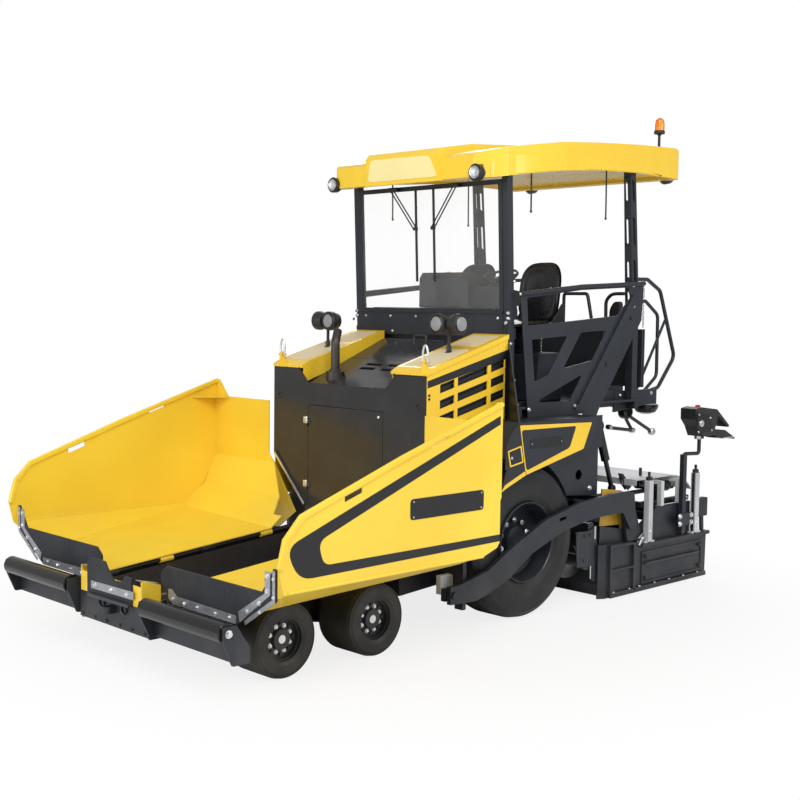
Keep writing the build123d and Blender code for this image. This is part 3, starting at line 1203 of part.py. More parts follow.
def side_controls():
    """Left side-control box on its cranked arm, with its hooded front and tray."""
    x, y = EXT_BACK_X + 300, SCREED_HALF + 30
    head_x = x - 230
    arm = bent_bar([(x, y, 452), (x, y, 1236), (head_x, y + 20, 1226), (head_x, y + 20, 1410)], 18, 30)
    box = plate_xz(
        [
            (x - 90, 1500), (x - 20, 1570), (x - 20, 1670), (x - 110, 1684), (x - 390, 1652), (x - 620, 1482),
            (x - 600, 1466), (x - 410, 1590), (x - 350, 1430), (x - 330, 1400), (x - 150, 1400),
        ],
        (y - 60, y + 110), 6,
    )
    tray = plate_xz(
        [(x - 330, 1455), (x - 330, 1405), (REAR_TIP_X, 1340), (REAR_TIP_X, 1356), (x - 560, 1440), (x - 420, 1450)],
        (y - 50, y + 100),
    )
    neck = block((head_x - 32, head_x + 32), (y - 12, y + 52), (1370, 1401))
    return fuse(arm, box, tray, neck)


# ---------------------------------------------------------------- the nodes
save("main_frame", main_frame())
save("bogies", *both(bogie()))
save("rear_drives", *both(rear_drive()))
save("hopper_trough", trough())
save("conveyors", *both(conveyor()))
save("hopper_nose", hopper_nose())
save("apron_middle", apron_middle())
save("push_brackets", *both(push_bracket()))
save("engine", block(*ENGINE))
save("bulkhead", bulkhead())
save("bulkhead_door", bulkhead_door())
save("hood_panels", *hood_panels())
save("hood_deck", hood_deck())
save("hood_lid", hood_lid())
save("exhaust_pipe", exhaust())
save("fenders", *both(fender()))
save("platform_deck", platform_deck())
save("platform_sides", *both(platform_side()))
save("access_rails", *both(access_rail()))
save("console", console())
save("seats", *both(seat()))
save("windscreen_frame", windscreen_frame())
save("windscreen_glass", windscreen_glass())
save("roof_posts", *both(front_post()), *both(rear_post()))
save("roof", *roof())
save("work_lamps", *work_lamps())
save("beacon", beacon())
save("auger_frame", auger_frame())
save("tow_arms", *tow_arms())
save("screed_body", screed_body())
save("walkway", walkway())
save("lift_cylinders", *both(lift_cylinder()))

front_axle_names = ("front", "middle")
left_pieces = {
    "wing": wing(),
    "apron": apron(),
    "push_roller": push_roller(),
    "rear_tyre": rear_tyre(),
    "rear_rim": rear_rim(),
    "auger": auger(),
    "extension": extension(),
    "side_controls": side_controls(),
}
for axle, axle_x in zip(front_axle_names, FRONT_AXLES):
    left_pieces[f"knuckle_{axle}"] = knuckle(axle_x)
    left_pieces[f"tyre_{axle}"] = front_tyre(axle_x)
    left_pieces[f"hub_{axle}"] = front_hub(axle_x)
for name, piece in left_pieces.items():
    save(f"{name}_left", piece)
    save(f"{name}_right", mirrored(piece))
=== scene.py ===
"""Looks of a wheeled asphalt paver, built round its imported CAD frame. Metres; +X is the way it drives."""

import json
import math

import bmesh
import bpy
from mathutils import Matrix, Vector


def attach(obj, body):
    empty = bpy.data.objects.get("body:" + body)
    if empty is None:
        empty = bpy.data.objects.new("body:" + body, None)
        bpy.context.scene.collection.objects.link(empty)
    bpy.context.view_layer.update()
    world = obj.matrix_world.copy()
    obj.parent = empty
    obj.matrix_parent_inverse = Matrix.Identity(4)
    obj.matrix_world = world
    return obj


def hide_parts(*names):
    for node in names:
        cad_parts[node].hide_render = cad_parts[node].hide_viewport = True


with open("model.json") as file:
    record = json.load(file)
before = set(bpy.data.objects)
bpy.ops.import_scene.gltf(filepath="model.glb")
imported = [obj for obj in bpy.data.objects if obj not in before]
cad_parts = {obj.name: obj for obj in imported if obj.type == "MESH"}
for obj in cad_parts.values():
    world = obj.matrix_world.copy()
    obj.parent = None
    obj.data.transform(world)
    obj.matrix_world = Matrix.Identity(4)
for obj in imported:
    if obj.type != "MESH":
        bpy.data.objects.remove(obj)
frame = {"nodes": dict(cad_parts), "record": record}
NODES = frame["nodes"]
JOINTS = {joint["name"]: joint for joint in frame["record"]["behaviour"]["joints"]}
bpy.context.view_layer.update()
SIDES = ((1, "left"), (-1, "right"))
REAR_AXLE = Vector(JOINTS["roll_rear_left"]["pos_m"])
AHEAD, ACROSS, UP = Vector((1, 0, 0)), Vector((0, 1, 0)), Vector((0, 0, 1))


def at(x, y, z):
    """A point given in millimetres from the ground under the rear axle's middle."""
    return Vector((REAR_AXLE.x + x / 1000, y / 1000, z / 1000))


# ---- shader arithmetic
class Val:
    """A value in a shader tree. Arithmetic on it adds Math nodes, or Vector Math nodes for a vector."""

    def __init__(self, tree, socket=None):
        self.tree = tree
        self.socket = socket

    def put(self, target, value):
        if isinstance(value, Val):
            self.tree.links.new(value.socket, target)
        elif target.type == "RGBA" and len(value) == 3:
            target.default_value = (*value, 1)
        else:
            target.default_value = value

    def node(self, kind, settings=None, sockets=None, out=0):
        """Adds any node: its settings first, then its sockets."""
        made = self.tree.nodes.new(kind)
        for name, value in (settings or {}).items():
            setattr(made, name, value)
        for name, value in (sockets or {}).items():
            self.put(made.inputs[name], value)
        return Val(self.tree, made.outputs[out])

    def math(self, operation, first, second=0.0):
        vector = any(isinstance(v, Val) and v.socket.type == "VECTOR" for v in (first, second))
        kind = "ShaderNodeVectorMath" if vector else "ShaderNodeMath"
        if vector:
            first, second = [v if isinstance(v, (Val, tuple)) else (v, v, v) for v in (first, second)]
        return self.node(kind, {"operation": operation}, {0: first, 1: second})

    def __add__(self, other):
        return self.math("ADD", self, other)

    def __radd__(self, other):
        return self.math("ADD", other, self)

    def __sub__(self, other):
        return self.math("SUBTRACT", self, other)

    def __rsub__(self, other):
        return self.math("SUBTRACT", other, self)

    def __mul__(self, other):
        return self.math("MULTIPLY", self, other)

    def __rmul__(self, other):
        return self.math("MULTIPLY", other, self)

    def __truediv__(self, other):
        return self.math("DIVIDE", self, other)

    def clamp(self, low, high):
        """0 to 1 as the value goes from low to high."""
        sockets = {0: self, 1: low, 2: high}
        return self.node("ShaderNodeMapRange", {"interpolation_type": "SMOOTHSTEP"}, sockets)

    def blend(self, first, second):
        """The first colour where the value is 0, the second where it is 1."""
        return self.node("ShaderNodeMix", {"data_type": "RGBA"}, {0: self, 6: first, 7: second}, out=2)


class Finish:
    """A material under way: its shader, the piece's own coordinates and the usual textures."""

    def __init__(self, name, **uniform):
        self.material = bpy.data.materials.new(name)
        self.material.use_nodes = True
        tree = self.material.node_tree
        self.shader = tree.nodes["Principled BSDF"]
        self.val = Val(tree)
        self.place = self.val.node("ShaderNodeTexCoord", out="Object")
        for socket, value in uniform.items():
            self.set(socket.replace("_", " "), value)

    def set(self, socket, value):
        self.val.put(self.shader.inputs[socket], value)

    def noise(self, scale, detail=4.0, rough=0.55, stretch=None):
        place = self.place * stretch if stretch else self.place
        return self.val.node(
            "ShaderNodeTexNoise", {}, {"Vector": place, "Scale": scale, "Detail": detail, "Roughness": rough}
        )

    def cells(self, scale, out=0):
        return self.val.node("ShaderNodeTexVoronoi", {}, {"Vector": self.place, "Scale": scale}, out)

    def axis(self, name):
        return self.val.node("ShaderNodeSeparateXYZ", {}, {0: self.place}, out=name)

    def soft_edge(self, radius):
        """Normals rounded over the edges, and a mask of where they turn."""
        rounded = self.val.node("ShaderNodeBevel", {"samples": 4}, {"Radius": radius})
        plain = self.val.node("ShaderNodeNewGeometry", out="Normal")
        both = {0: rounded, 1: plain}
        turn = self.val.node("ShaderNodeVectorMath", {"operation": "DOT_PRODUCT"}, both, out="Value")
        return rounded, (1.0 - turn).clamp(0.02, 0.25)

    def bump(self, height, strength, distance, edge=0.0):
        """Relief in the shading, over edges rounded by a radius. Gives the mask of where they turn."""
        sockets = {"Height": height, "Strength": strength, "Distance": distance}
        turned = None
        if edge:
            sockets["Normal"], turned = self.soft_edge(edge)
        self.set("Normal", self.val.node("ShaderNodeBump", {}, sockets))
        return turned

    def done(self):
        return self.material


def shaded(colour, amount):
    return tuple(c * amount for c in colour)


def dust(look, colour, amount):
    """Road dust that settles on the lowest parts."""
    low = 1.0 - look.axis("Z").clamp(0.05, 1.1)
    patch = look.noise(3.2, 6).clamp(0.35, 0.75)
    return (low * patch * amount).blend(colour, (0.36, 0.31, 0.24))


def yellow(name, shade=(0.98, 0.66, 0.040), rough=0.26):
    look = Finish(name, Coat_Weight=0.28, Coat_Roughness=0.06, Specular_IOR_Level=0.45)
    drift = look.noise(0.9, 2)
    deep = tuple(c * k for c, k in zip(shade, (0.93, 0.88, 0.8)))
    colour = drift.clamp(0.3, 0.7).blend(deep, shade)
    look.set("Base Color", dust(look, colour, 0.16))
    scuff = look.noise(42, 5, 0.7, (1.0, 1.0, 0.3)).clamp(0.52, 0.78)
    look.set("Roughness", look.noise(5, 3) * 0.10 + (rough - 0.05) + scuff * 0.07)
    look.bump(look.noise(260, 2), 0.10, 0.0006, edge=0.004)
    return look.done()


def powder_coat(name, shade=(0.0125, 0.0160, 0.0235), rough=0.44, grain=0.35, wear=0.5):
    look = Finish(name, Specular_IOR_Level=0.5)
    drift = look.noise(2.1, 4)
    colour = drift.clamp(0.35, 0.75).blend(shade, shaded(shade, 1.45))
    turned = look.bump(look.noise(620, 3, 0.6), grain, 0.0007, edge=0.003)
    rub = turned * look.noise(24, 5, 0.7).clamp(0.42, 0.62) * wear
    colour = rub.blend(colour, (0.15, 0.16, 0.175))
    look.set("Base Color", dust(look, colour, 0.10))
    look.set("Roughness", look.noise(9, 4) * 0.16 + (rough - 0.08))
    return look.done()


def gloss_black(name):
    look = Finish(name, Base_Color=(0.006, 0.0063, 0.0072), Coat_Weight=0.25, Coat_Roughness=0.04,
                  Specular_IOR_Level=0.4)
    look.set("Roughness", look.noise(16, 5, 0.7, (1.0, 0.15, 1.0)) * 0.10 + 0.10)
    look.bump(look.noise(300, 2), 0.05, 0.0004, edge=0.003)
    return look.done()


def bare_steel(name, shade, rough, along, stain):
    """Metal with fine streaks, short in the direction where along is small, and stained in blots."""
    look = Finish(name, Metallic=1.0)
    streak = look.noise(190, 4, 0.6, along)
    colour = streak.clamp(0.2, 0.8).blend(shaded(shade, 0.80), shade)
    blot = look.noise(7, 6, 0.65).clamp(0.5, 0.8) * stain
    look.set("Base Color", blot.blend(colour, (0.17, 0.12, 0.08)))
    look.set("Roughness", streak * 0.16 + rough + blot * 0.25)
    look.bump(streak, 0.12, 0.0004, edge=0.002)
    return look.done()


def galvanised(name):
    look = Finish(name, Metallic=0.85)
    spangle = look.cells(95, out="Color")
    grey = look.val.node("ShaderNodeRGBToBW", {}, {0: spangle})
    look.set("Base Color", grey.blend((0.34, 0.355, 0.38), (0.50, 0.515, 0.54)))
    look.set("Roughness", grey * 0.14 + 0.36)
    look.bump(look.noise(130, 3), 0.10, 0.0005, edge=0.002)
    return look.done()


def rubber(name, shade, rough, grain, dusty):
    look = Finish(name, Specular_IOR_Level=0.35)
    drift = look.noise(4, 5)
    colour = drift.clamp(0.3, 0.8).blend(shade, shaded(shade, 1.7))
    look.set("Base Color", dust(look, colour, dusty))
    look.set("Roughness", look.noise(30, 4) * 0.18 + (rough - 0.09))
    look.bump(look.noise(grain, 5, 0.7), 0.22, 0.001, edge=0.004)
    return look.done()


def plastic(name, shade=(0.016, 0.0165, 0.018), rough=0.42, grain=0.25):
    look = Finish(name, Specular_IOR_Level=0.45)
    look.set("Base Color", look.noise(5, 4).clamp(0.3, 0.8).blend(shade, shaded(shade, 1.5)))
    look.set("Roughness", look.noise(22, 4) * 0.12 + (rough - 0.06))
    look.bump(look.cells(700), grain, 0.0004, edge=0.003)
    return look.done()


def wave(value, rate):
    return value.math("SINE", value * rate)


def tread_plate(name):
    """Pale aluminium with raised bars in pairs, turned by a right angle from one to the next."""
    look = Finish(name, Metallic=0.15)
    shade = look.noise(3, 5).clamp(0.3, 0.8).blend((0.58, 0.59, 0.61), (0.74, 0.75, 0.77))
    look.set("Base Color", shade)
    look.set("Roughness", look.noise(40, 4) * 0.2 + 0.36)
    x, y = look.axis("X") * 42.0, look.axis("Y") * 42.0
    rising = wave(x + y, math.pi / 2) * wave(x - y, math.pi)
    falling = wave(x + y, math.pi) * wave(x - y, math.pi / 2)
    look.bump(look.val.math("MAXIMUM", rising, falling).clamp(0.45, 0.62), 0.55, 0.0018)
    return look.done()


def vinyl(name):
    look = Finish(name, Specular_IOR_Level=0.5)
    drift = look.noise(6, 4).clamp(0.3, 0.8)
    look.set("Base Color", drift.blend((0.012, 0.0130, 0.015), (0.020, 0.0215, 0.025)))
    look.set("Roughness", look.noise(18, 4) * 0.12 + 0.20)
    look.bump(look.cells(230) + look.noise(90, 4) * 0.4, 0.14, 0.0006)
    return look.done()


def clear_pane(name):
    """A window pane: mostly see-through, with the sheen of a flat glass. Its faint pale veil is painted
    reflection, thicker along faint wiped streaks.
    """
    look = Finish(name, Base_Color=(0.90, 0.93, 0.94), Specular_IOR_Level=0.8)
    streak = look.noise(3.0, 5, 0.6, (1.0, 1.0, 0.25)).clamp(0.45, 0.85)
    look.set("Roughness", streak * 0.06 + 0.02)
    # Painted reflection: a few percent of pale colour laid over the pane, with more of it along the wiped
    # streaks.
    look.set("Alpha", streak * 0.04 + 0.045)
    look.material.surface_render_method = "BLENDED"
    return look.done()


def lens(name):
    look = Finish(name, Base_Color=(0.9, 0.92, 0.95), Transmission_Weight=0.7, IOR=1.5)
    look.set("Roughness", look.noise(40, 3) * 0.06 + 0.04)
    look.bump(wave(look.axis("Y"), 900.0), 0.25, 0.0008)
    return look.done()


def amber(name):
    look = Finish(name, Base_Color=(1.0, 0.30, 0.01), Transmission_Weight=0.45, IOR=1.45, Coat_Weight=0.5)
    look.set("Roughness", look.noise(60, 3) * 0.08 + 0.10)
    look.bump(wave(look.axis("Z"), 1400.0), 0.2, 0.0008)
    return look.done()


def grip_pad(name):
    """Pale gritty sheet on the hood's caps."""
    look = Finish(name, Specular_IOR_Level=0.4)
    grit = look.noise(420, 3, 0.7)
    look.set("Base Color", grit.clamp(0.35, 0.7).blend((0.66, 0.54, 0.32), (0.88, 0.76, 0.50)))
    look.set("Roughness", grit * 0.3 + 0.55)
    look.bump(grit, 0.12, 0.0006)
    return look.done()


def mesh_sheet(name):
    """Dark sheet with rows of round holes. The holes are not cut but painted near-black: painted shade of the
    dark space behind the sheet.
    """
    look = Finish(name, Metallic=0.3)
    cell = look.cells(85)
    hole_painted_shade = 1.0 - cell.clamp(0.25, 0.32)
    # Painted shade: the holes are coloured near-black instead of showing what lies behind them.
    look.set("Base Color", hole_painted_shade.blend((0.03, 0.032, 0.036), (0.002, 0.002, 0.002)))
    look.set("Roughness", hole_painted_shade * 0.4 + 0.45)
    look.bump(cell.clamp(0.2, 0.35), 0.6, 0.002)
    return look.done()


YELLOW = yellow("paint_yellow")
# Painted light: a paler, lit copy of the yellow paint, used for the roof's front brow.
PALE_LIT_YELLOW = yellow("paint_yellow_pale_lit", (0.98, 0.86, 0.40), 0.20)
GRIP = grip_pad("grip_pad")
MESH = mesh_sheet("louvre_sheet")
MIRROR = bare_steel("mirror_bowl", (0.88, 0.89, 0.90), 0.06, (1.0, 1.0, 1.0), 0.0)
# Painted light: the hopper wings get a lighter, more yellow copy of the same yellow paint.
HOPPER_LIT_YELLOW = yellow("paint_yellow_hopper_lit", (1.0, 0.72, 0.055), 0.30)
DARK = powder_coat("coat_anthracite")
SMOOTH_DARK = powder_coat("coat_anthracite_smooth", (0.018, 0.021, 0.028), 0.24, 0.10, 0.2)
BRIGHT_DARK = powder_coat("coat_anthracite_bright", (0.028, 0.029, 0.032), 0.17, 0.06, 0.1)
ROUGH_DARK = powder_coat("coat_anthracite_rough", (0.020, 0.024, 0.033), 0.62, 0.40, 0.3)
STRIPE = powder_coat("stripe_dark", (0.006, 0.0065, 0.009), 0.44, 0.05, 0.0)
GLOSS = gloss_black("paint_black_gloss")
OCHRE = powder_coat("paint_ochre", (0.56, 0.33, 0.035), 0.40, 0.15, 0.3)
ENGINE = powder_coat("paint_engine", (0.22, 0.225, 0.23), 0.45, 0.2, 0.3)
DARK_STEEL = bare_steel("steel_dark", (0.20, 0.20, 0.21), 0.38, (0.08, 1.0, 1.0), 0.45)
HEATED = bare_steel("steel_heated", (0.10, 0.095, 0.095), 0.42, (1.0, 1.0, 0.1), 0.3)
ZINC = bare_steel("zinc_bright", (0.90, 0.91, 0.93), 0.22, (1.0, 1.0, 1.0), 0.05)
GALVANISED = galvanised("zinc_spangle")
SLEEVE = powder_coat("coat_silver", (0.50, 0.51, 0.53), 0.30, 0.05, 0.0)
TYRE = rubber("rubber_tyre", (0.010, 0.0105, 0.0118), 0.40, 120, 0.06)
SOLID_TYRE = rubber("rubber_solid", (0.018, 0.0185, 0.020), 0.50, 200, 0.08)
SHEET_RUBBER = rubber("rubber_sheet", (0.020, 0.022, 0.027), 0.55, 90, 0.04)
PLASTIC = plastic("plastic_black")
PALE_PLASTIC = plastic("plastic_pale", (0.52, 0.53, 0.55), 0.4, 0.1)
RED = plastic("plastic_red", (0.62, 0.02, 0.012), 0.3, 0.1)
TREAD = tread_plate("plate_tread")
VINYL = vinyl("vinyl_black")
PANE = clear_pane("glass_pane")
LENS = lens("lens_clear")
AMBER = amber("lens_amber")

NODE_LOOKS = {
    HOPPER_LIT_YELLOW: ("wing_left", "wing_right"),
    YELLOW: ("hood_panels", "roof", "hopper_nose"),
    GLOSS: ("push_roller_left", "push_roller_right", "lift_cylinders"),
    ENGINE: ("engine",),
    BRIGHT_DARK: ("bulkhead", "bulkhead_door", "hood_deck", "hood_lid"),
    DARK_STEEL: ("conveyors", "hopper_trough", "auger_left", "auger_right"),
    HEATED: ("exhaust_pipe",),
    SHEET_RUBBER: ("apron_left", "apron_right", "apron_middle"),
    TYRE: ("rear_tyre_left", "rear_tyre_right"),
    SOLID_TYRE: tuple(f"tyre_{axle}_{side}" for axle in ("front", "middle") for _, side in SIDES),
    PLASTIC: ("console", "work_lamps", "side_controls_left", "side_controls_right"),
    TREAD: ("walkway",),
    VINYL: ("seats",),
    PANE: ("windscreen_glass",),
    AMBER: ("beacon",),
}
look_of = {node: look for look, nodes in NODE_LOOKS.items() for node in nodes}
for name, obj in NODES.items():
    obj.data.materials.clear()
    obj.data.materials.append(look_of.get(name, DARK))


# ---- making pieces
def piece(name, data, look, body):
    obj = bpy.data.objects.new(name, data)
    bpy.context.scene.collection.objects.link(obj)
    data.materials.append(look)
    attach(obj, body)
    return obj


def from_bmesh(name, bm, look, body, smooth=False):
    mesh = bpy.data.meshes.new(name)
    bmesh.ops.recalc_face_normals(bm, faces=bm.faces)
    bm.to_mesh(mesh)
    bm.free()
    if smooth:
        for face in mesh.polygons:
            face.use_smooth = True
        mesh.set_sharp_from_angle(angle=math.radians(35))
    return piece(name, mesh, look, body)


def around(radius, angles):
    """The two coordinates of points on a circle."""
    return [(radius * math.cos(a), radius * math.sin(a)) for a in angles]


def ring_about(bm, centre, axis, radius, along, steps, start=0.0):
    """Vertices on a circle about an axis through centre, some way along it."""
    turn = UP.rotation_difference(Vector(axis)).to_matrix()
    angles = [2 * math.pi * n / steps + start for n in range(steps)]
    return [bm.verts.new(Vector(centre) + turn @ Vector((a, b, along))) for a, b in around(radius, angles)]


def skin(bm, rows, closed=True):
    """Faces between rows of vertices. A row of one vertex closes to a point."""
    for a, b in zip(rows, rows[1:]):
        steps = max(len(a), len(b))
        for n in range(steps if closed else steps - 1):
            m = (n + 1) % steps
            corners = [a[n % len(a)], a[m % len(a)], b[m % len(b)], b[n % len(b)]]
            unique = list(dict.fromkeys(corners))
            if len(unique) > 2:
                bm.faces.new(unique)


def slab(name, loops, direction, look, body="chassis", edge=0.0008):
    """A flat plate: an outline of points, with further loops as its holes, pushed along a direction."""
    bm = bmesh.new()
    edges = []
    for loop in loops:
        verts = [bm.verts.new(point) for point in loop]
        edges += [bm.edges.new((a, b)) for a, b in zip(verts, verts[1:] + verts[:1])]
    filled = bmesh.ops.triangle_fill(bm, use_beauty=True, use_dissolve=True, edges=edges)
    faces = [f for f in filled["geom"] if isinstance(f, bmesh.types.BMFace)]
    made = bmesh.ops.extrude_face_region(bm, geom=faces)
    moved = [v for v in made["geom"] if isinstance(v, bmesh.types.BMVert)]
    bmesh.ops.translate(bm, verts=moved, vec=Vector(direction))
    obj = from_bmesh(name, bm, look, body)
    if edge:
        bevel = obj.modifiers.new("edge", "BEVEL")
        bevel.width = edge
        bevel.segments = 2
        bevel.limit_method = "ANGLE"
    return obj


def lathe(name, profile, centre, axis, look, body="chassis", steps=48):
    """A turned piece: (radius, along) points about an axis through centre."""
    bm = bmesh.new()
    rings = [ring_about(bm, centre, axis, radius, along, steps if radius else 1) for radius, along in profile]
    skin(bm, rings)
    return from_bmesh(name, bm, look, body, smooth=True)


def bolts(name, points, axis, look, body="chassis", size=0.012, washer=True):
    """Hexagon heads on washers, all in one piece, standing out along an axis."""
    bm = bmesh.new()
    disc = [(24, 1.25, 0.0), (24, 1.25, 0.18), (24, 0.9, 0.18)]
    head = [(6, 1.0, 0.18), (6, 1.0, 0.75), (6, 0.8, 0.9)]
    for count, point in enumerate(points):
        for profile in (disc, head) if washer else (head,):
            rings = [ring_about(bm, point, axis, size * radius, size * along, steps, 0.5 * count)
                     for steps, radius, along in profile]
            skin(bm, rings)
            bm.faces.new(rings[-1])
    return from_bmesh(name, bm, look, body)


def tube(name, points, radius, look, body="chassis", smooth=True):
    """A bent bar through points."""
    curve = bpy.data.curves.new(name, "CURVE")
    curve.dimensions = "3D"
    curve.bevel_depth = radius
    curve.bevel_resolution = 4
    curve.resolution_u = 8
    curve.use_fill_caps = True
    line = curve.splines.new("NURBS" if smooth else "POLY")
    line.points.add(len(points) - 1)
    for point, spot in zip(line.points, points):
        point.co = (*spot, 1)
    if smooth:
        line.order_u = 3
        line.use_endpoint_u = True
    return piece(name, curve, look, body)


def rounded(points, radius, steps=5):
    """A closed outline with its corners rounded, by one radius or by one for each."""
    out = []
    total = len(points)
    radii = radius if isinstance(radius, list) else [radius] * total
    for n, corner in enumerate(points):
        corner = Vector(corner)
        before, after = Vector(points[n - 1]) - corner, Vector(points[(n + 1) % total]) - corner
        reach = min(radii[n], before.length * 0.45, after.length * 0.45)
        start, end = corner + before.normalized() * reach, corner + after.normalized() * reach
        for k in range(steps + 1):
            t = k / steps
            out.append(start * (1 - t) ** 2 + corner * 2 * t * (1 - t) + end * t ** 2)
    return out


# ---- camera, light and floor
def place_camera():
    """The three-quarter front view from the left."""
    yaw, pitch, roll = (math.radians(a) for a in (-134.330, 4.2136, 0.7416))
    ahead = Vector((math.cos(yaw) * math.cos(pitch), math.sin(yaw) * math.cos(pitch), -math.sin(pitch)))
    flat = ahead.cross(UP).normalized()
    rise = flat.cross(ahead)
    right = flat * math.cos(roll) + rise * math.sin(roll)
    up = rise * math.cos(roll) - flat * math.sin(roll)
    turn = Matrix((right, up, -ahead)).transposed()
    data = bpy.data.cameras.new("camera")
    data.lens = 56.77
    data.clip_end = 400
    camera = bpy.data.objects.new("camera", data)
    camera.matrix_world = Matrix.Translation(at(8070, 7939, 2598)) @ turn.to_4x4()
    bpy.context.scene.collection.objects.link(camera)
    bpy.context.scene.camera = camera


def place_lamps():
    """Four large soft lamps, aimed at the machine."""
    for name, spot, target, size, power in (
        ("key", (5.5, 6.5, 8.5), (0, 0, 1.5), 6.0, 570),
        ("front", (10.0, -1.5, 3.6), (0.5, 0, 1.4), 5.0, 230),
        ("left", (-3.0, 9.5, 5.0), (-0.5, 0, 1.6), 5.0, 235),
        ("back", (-7.5, -6.0, 7.0), (0, 0, 2.2), 6.0, 330),
    ):
        light = bpy.data.lights.new(name, "AREA")
        light.size = size
        light.energy = power
        lamp = bpy.data.objects.new(name, light)
        lamp.location = spot
        lamp.rotation_euler = (Vector(target) - Vector(spot)).to_track_quat("-Z", "Y").to_euler()
        bpy.context.scene.collection.objects.link(lamp)


def ray(val, kind):
    """1 for rays of a kind, such as Camera, and 0 for the others."""
    return val.node("ShaderNodeLightPath", out=f"Is {kind} Ray")


def seen(val):
    """1 for what the camera sees, straight or through glass."""
    return val.math("MAXIMUM", ray(val, "Camera"), ray(val, "Transmission"))


def light_world():
    """A backdrop that shows white but lights the machine at about half of that."""
    in_gloss, on_paint = 0.50, 0.44
    world = bpy.data.worlds.new("studio")
    bpy.context.scene.world = world
    world.use_nodes = True
    sky = Val(world.node_tree)
    shown = seen(sky)
    mirrored = ray(sky, "Glossy")
    strength = sky.math("MAXIMUM", shown, mirrored * in_gloss)
    strength = strength + (1.0 - sky.math("MAXIMUM", shown, mirrored)) * on_paint
    backdrop = world.node_tree.nodes["Background"]
    sky.put(backdrop.inputs["Color"], (1.0, 1.0, 1.0))
    sky.put(backdrop.inputs["Strength"], strength)


def lay_floor(half=60):
    """A pale floor that keeps the machine's shadow and fades to white away from it."""
    ground = bpy.data.meshes.new("floor")
    corners = [(-half, -half, 0), (half, -half, 0), (half, half, 0), (-half, half, 0)]
    ground.from_pydata(corners, [], [(0, 1, 2, 3)])
    floor = bpy.data.objects.new("floor", ground)
    bpy.context.scene.collection.objects.link(floor)
    look = Finish("floor_pale", Base_Color=(0.86, 0.86, 0.865), Specular_IOR_Level=0.2)
    look.set("Roughness", look.noise(0.8, 3) * 0.1 + 0.55)
    away = look.val.node("ShaderNodeVectorMath", {"operation": "LENGTH"}, {0: look.place}, out="Value")
    white = look.val.node("ShaderNodeEmission", {}, {"Color": (1.0, 1.0, 1.0), "Strength": 1.0})
    fade = away.clamp(2.4, 4.6) * 0.18 + 0.82
    lit = Val(look.val.tree, look.shader.outputs[0])
    mix = look.val.node("ShaderNodeMixShader", {}, {0: fade * seen(look.val), 1: lit, 2: white})
    look.val.put(look.val.tree.nodes["Material Output"].inputs["Surface"], mix)
    ground.materials.append(look.done())


place_camera()
place_lamps()
light_world()
lay_floor()
bpy.context.scene.view_settings.view_transform = "Standard"


# ---- plates and bolts on the machine's faces
def on_side(y, spots, side):
    """Points on an upright side face, from their (x, z)."""
    return [at(x, side * y, z) for x, z in spots]


def on_front(x, spots, side=1):
    """Points on a face across the machine, from their (y, z)."""
    return [at(x, side * y, z) for y, z in spots]


def side_plate(name, loops, y, out, side, look, body="chassis", edge=0.0):
    """A thin plate on an upright side face: loops of (x, z), at y on one side."""
    return slab(name, [on_side(y, loop, side) for loop in loops], (0, side * out / 1000, 0), look, body, edge)


def front_plate(name, loops, x, out, side, look, body="chassis", edge=0.0):
    """A thin plate across the machine: loops of (y, z), at x."""
    return slab(name, [on_front(x, loop, side) for loop in loops], (out / 1000, 0, 0), look, body, edge)


def side_bolts(name, spots, y, side, size, look=ZINC, body="chassis", washer=True):
    """Bolts on an upright side face, at their (x, z)."""
    bolts(name, on_side(y, spots, side), (0, side, 0), look, body, size, washer)


def front_bolts(name, spots, x, side, size, look=ZINC, body="chassis", washer=True):
    """Bolts on a face across the machine, at their (y, z)."""
    bolts(name, on_front(x, spots, side), AHEAD, look, body, size, washer)


def box(name, x, y, z, look, body="chassis", edge=0.003):
    """A squared piece with eased edges, between limits in millimetres."""
    loop = [at(x[0], y[0], z[0]), at(x[1], y[0], z[0]), at(x[1], y[1], z[0]), at(x[0], y[1], z[0])]
    slab(name, [loop], (0, 0, (z[1] - z[0]) / 1000), look, body, edge)


# ---- hopper wings
FLANK_Y = 1790
CLAMP_X = 3069
WING_STRIPE = [
    (1016, 1803), (3059, 1062), (2948, 840), (1000, 861),
    (1001, 912), (2738, 911), (2789, 1072), (1014, 1739),
]
WING_STRIPE_CURVES = [1, 150, 130, 1, 1, 60, 80, 1]
FLANK_PLATE = [(1950, 1120), (1950, 1268), (1190, 1268), (1190, 1120)]
WING_RIM = [(3098, 935), (3050, 1108), (2917, 1249), (2030, 1558), (992, 1886)]
FLANK_CORNER = [(1001, 1185), (1001, 851), (1030, 814), (1168, 768), (1335, 768), (1145, 930)]
REAR_LIP = [(924, 1186), (891, 1172), (604, 783), (825, 625), (996, 602), (1001, 1161)]
APRON_BACKING = [(470, 606), (470, 480), (1296, 480), (1420, 560), (1420, 640)]
SIDE_CLAMP = [(1314, 572), (1597, 743), (1596, 892), (1652, 892), (1652, 739), (1333, 504)]
LOW_CLAMP = [(500, 588), (548, 590), (600, 548), (1290, 540), (1290, 484), (560, 484), (500, 520)]
OUTER_CLAMP = [(1390, 496), (1700, 694), (1700, 905), (1672, 905), (1672, 712), (1376, 520)]
CLAMP_BOLTS = [
    (560, 520), (690, 512), (850, 512), (1060, 512), (1220, 512),
    (1410, 590), (1540, 668), (1624, 760), (1624, 860),
]


def hinge_height(x):
    """Height of the wing's hinge line."""
    return 525 + (3045 - x) * 0.091


def slit(y, low, high):
    """Outline of a narrow cut in an apron, drawn as a near-black strip on the rubber: painted shade inside
    the cut.
    """
    return [(y, low), (y + 3, low), (y + 3, high), (y, high)]


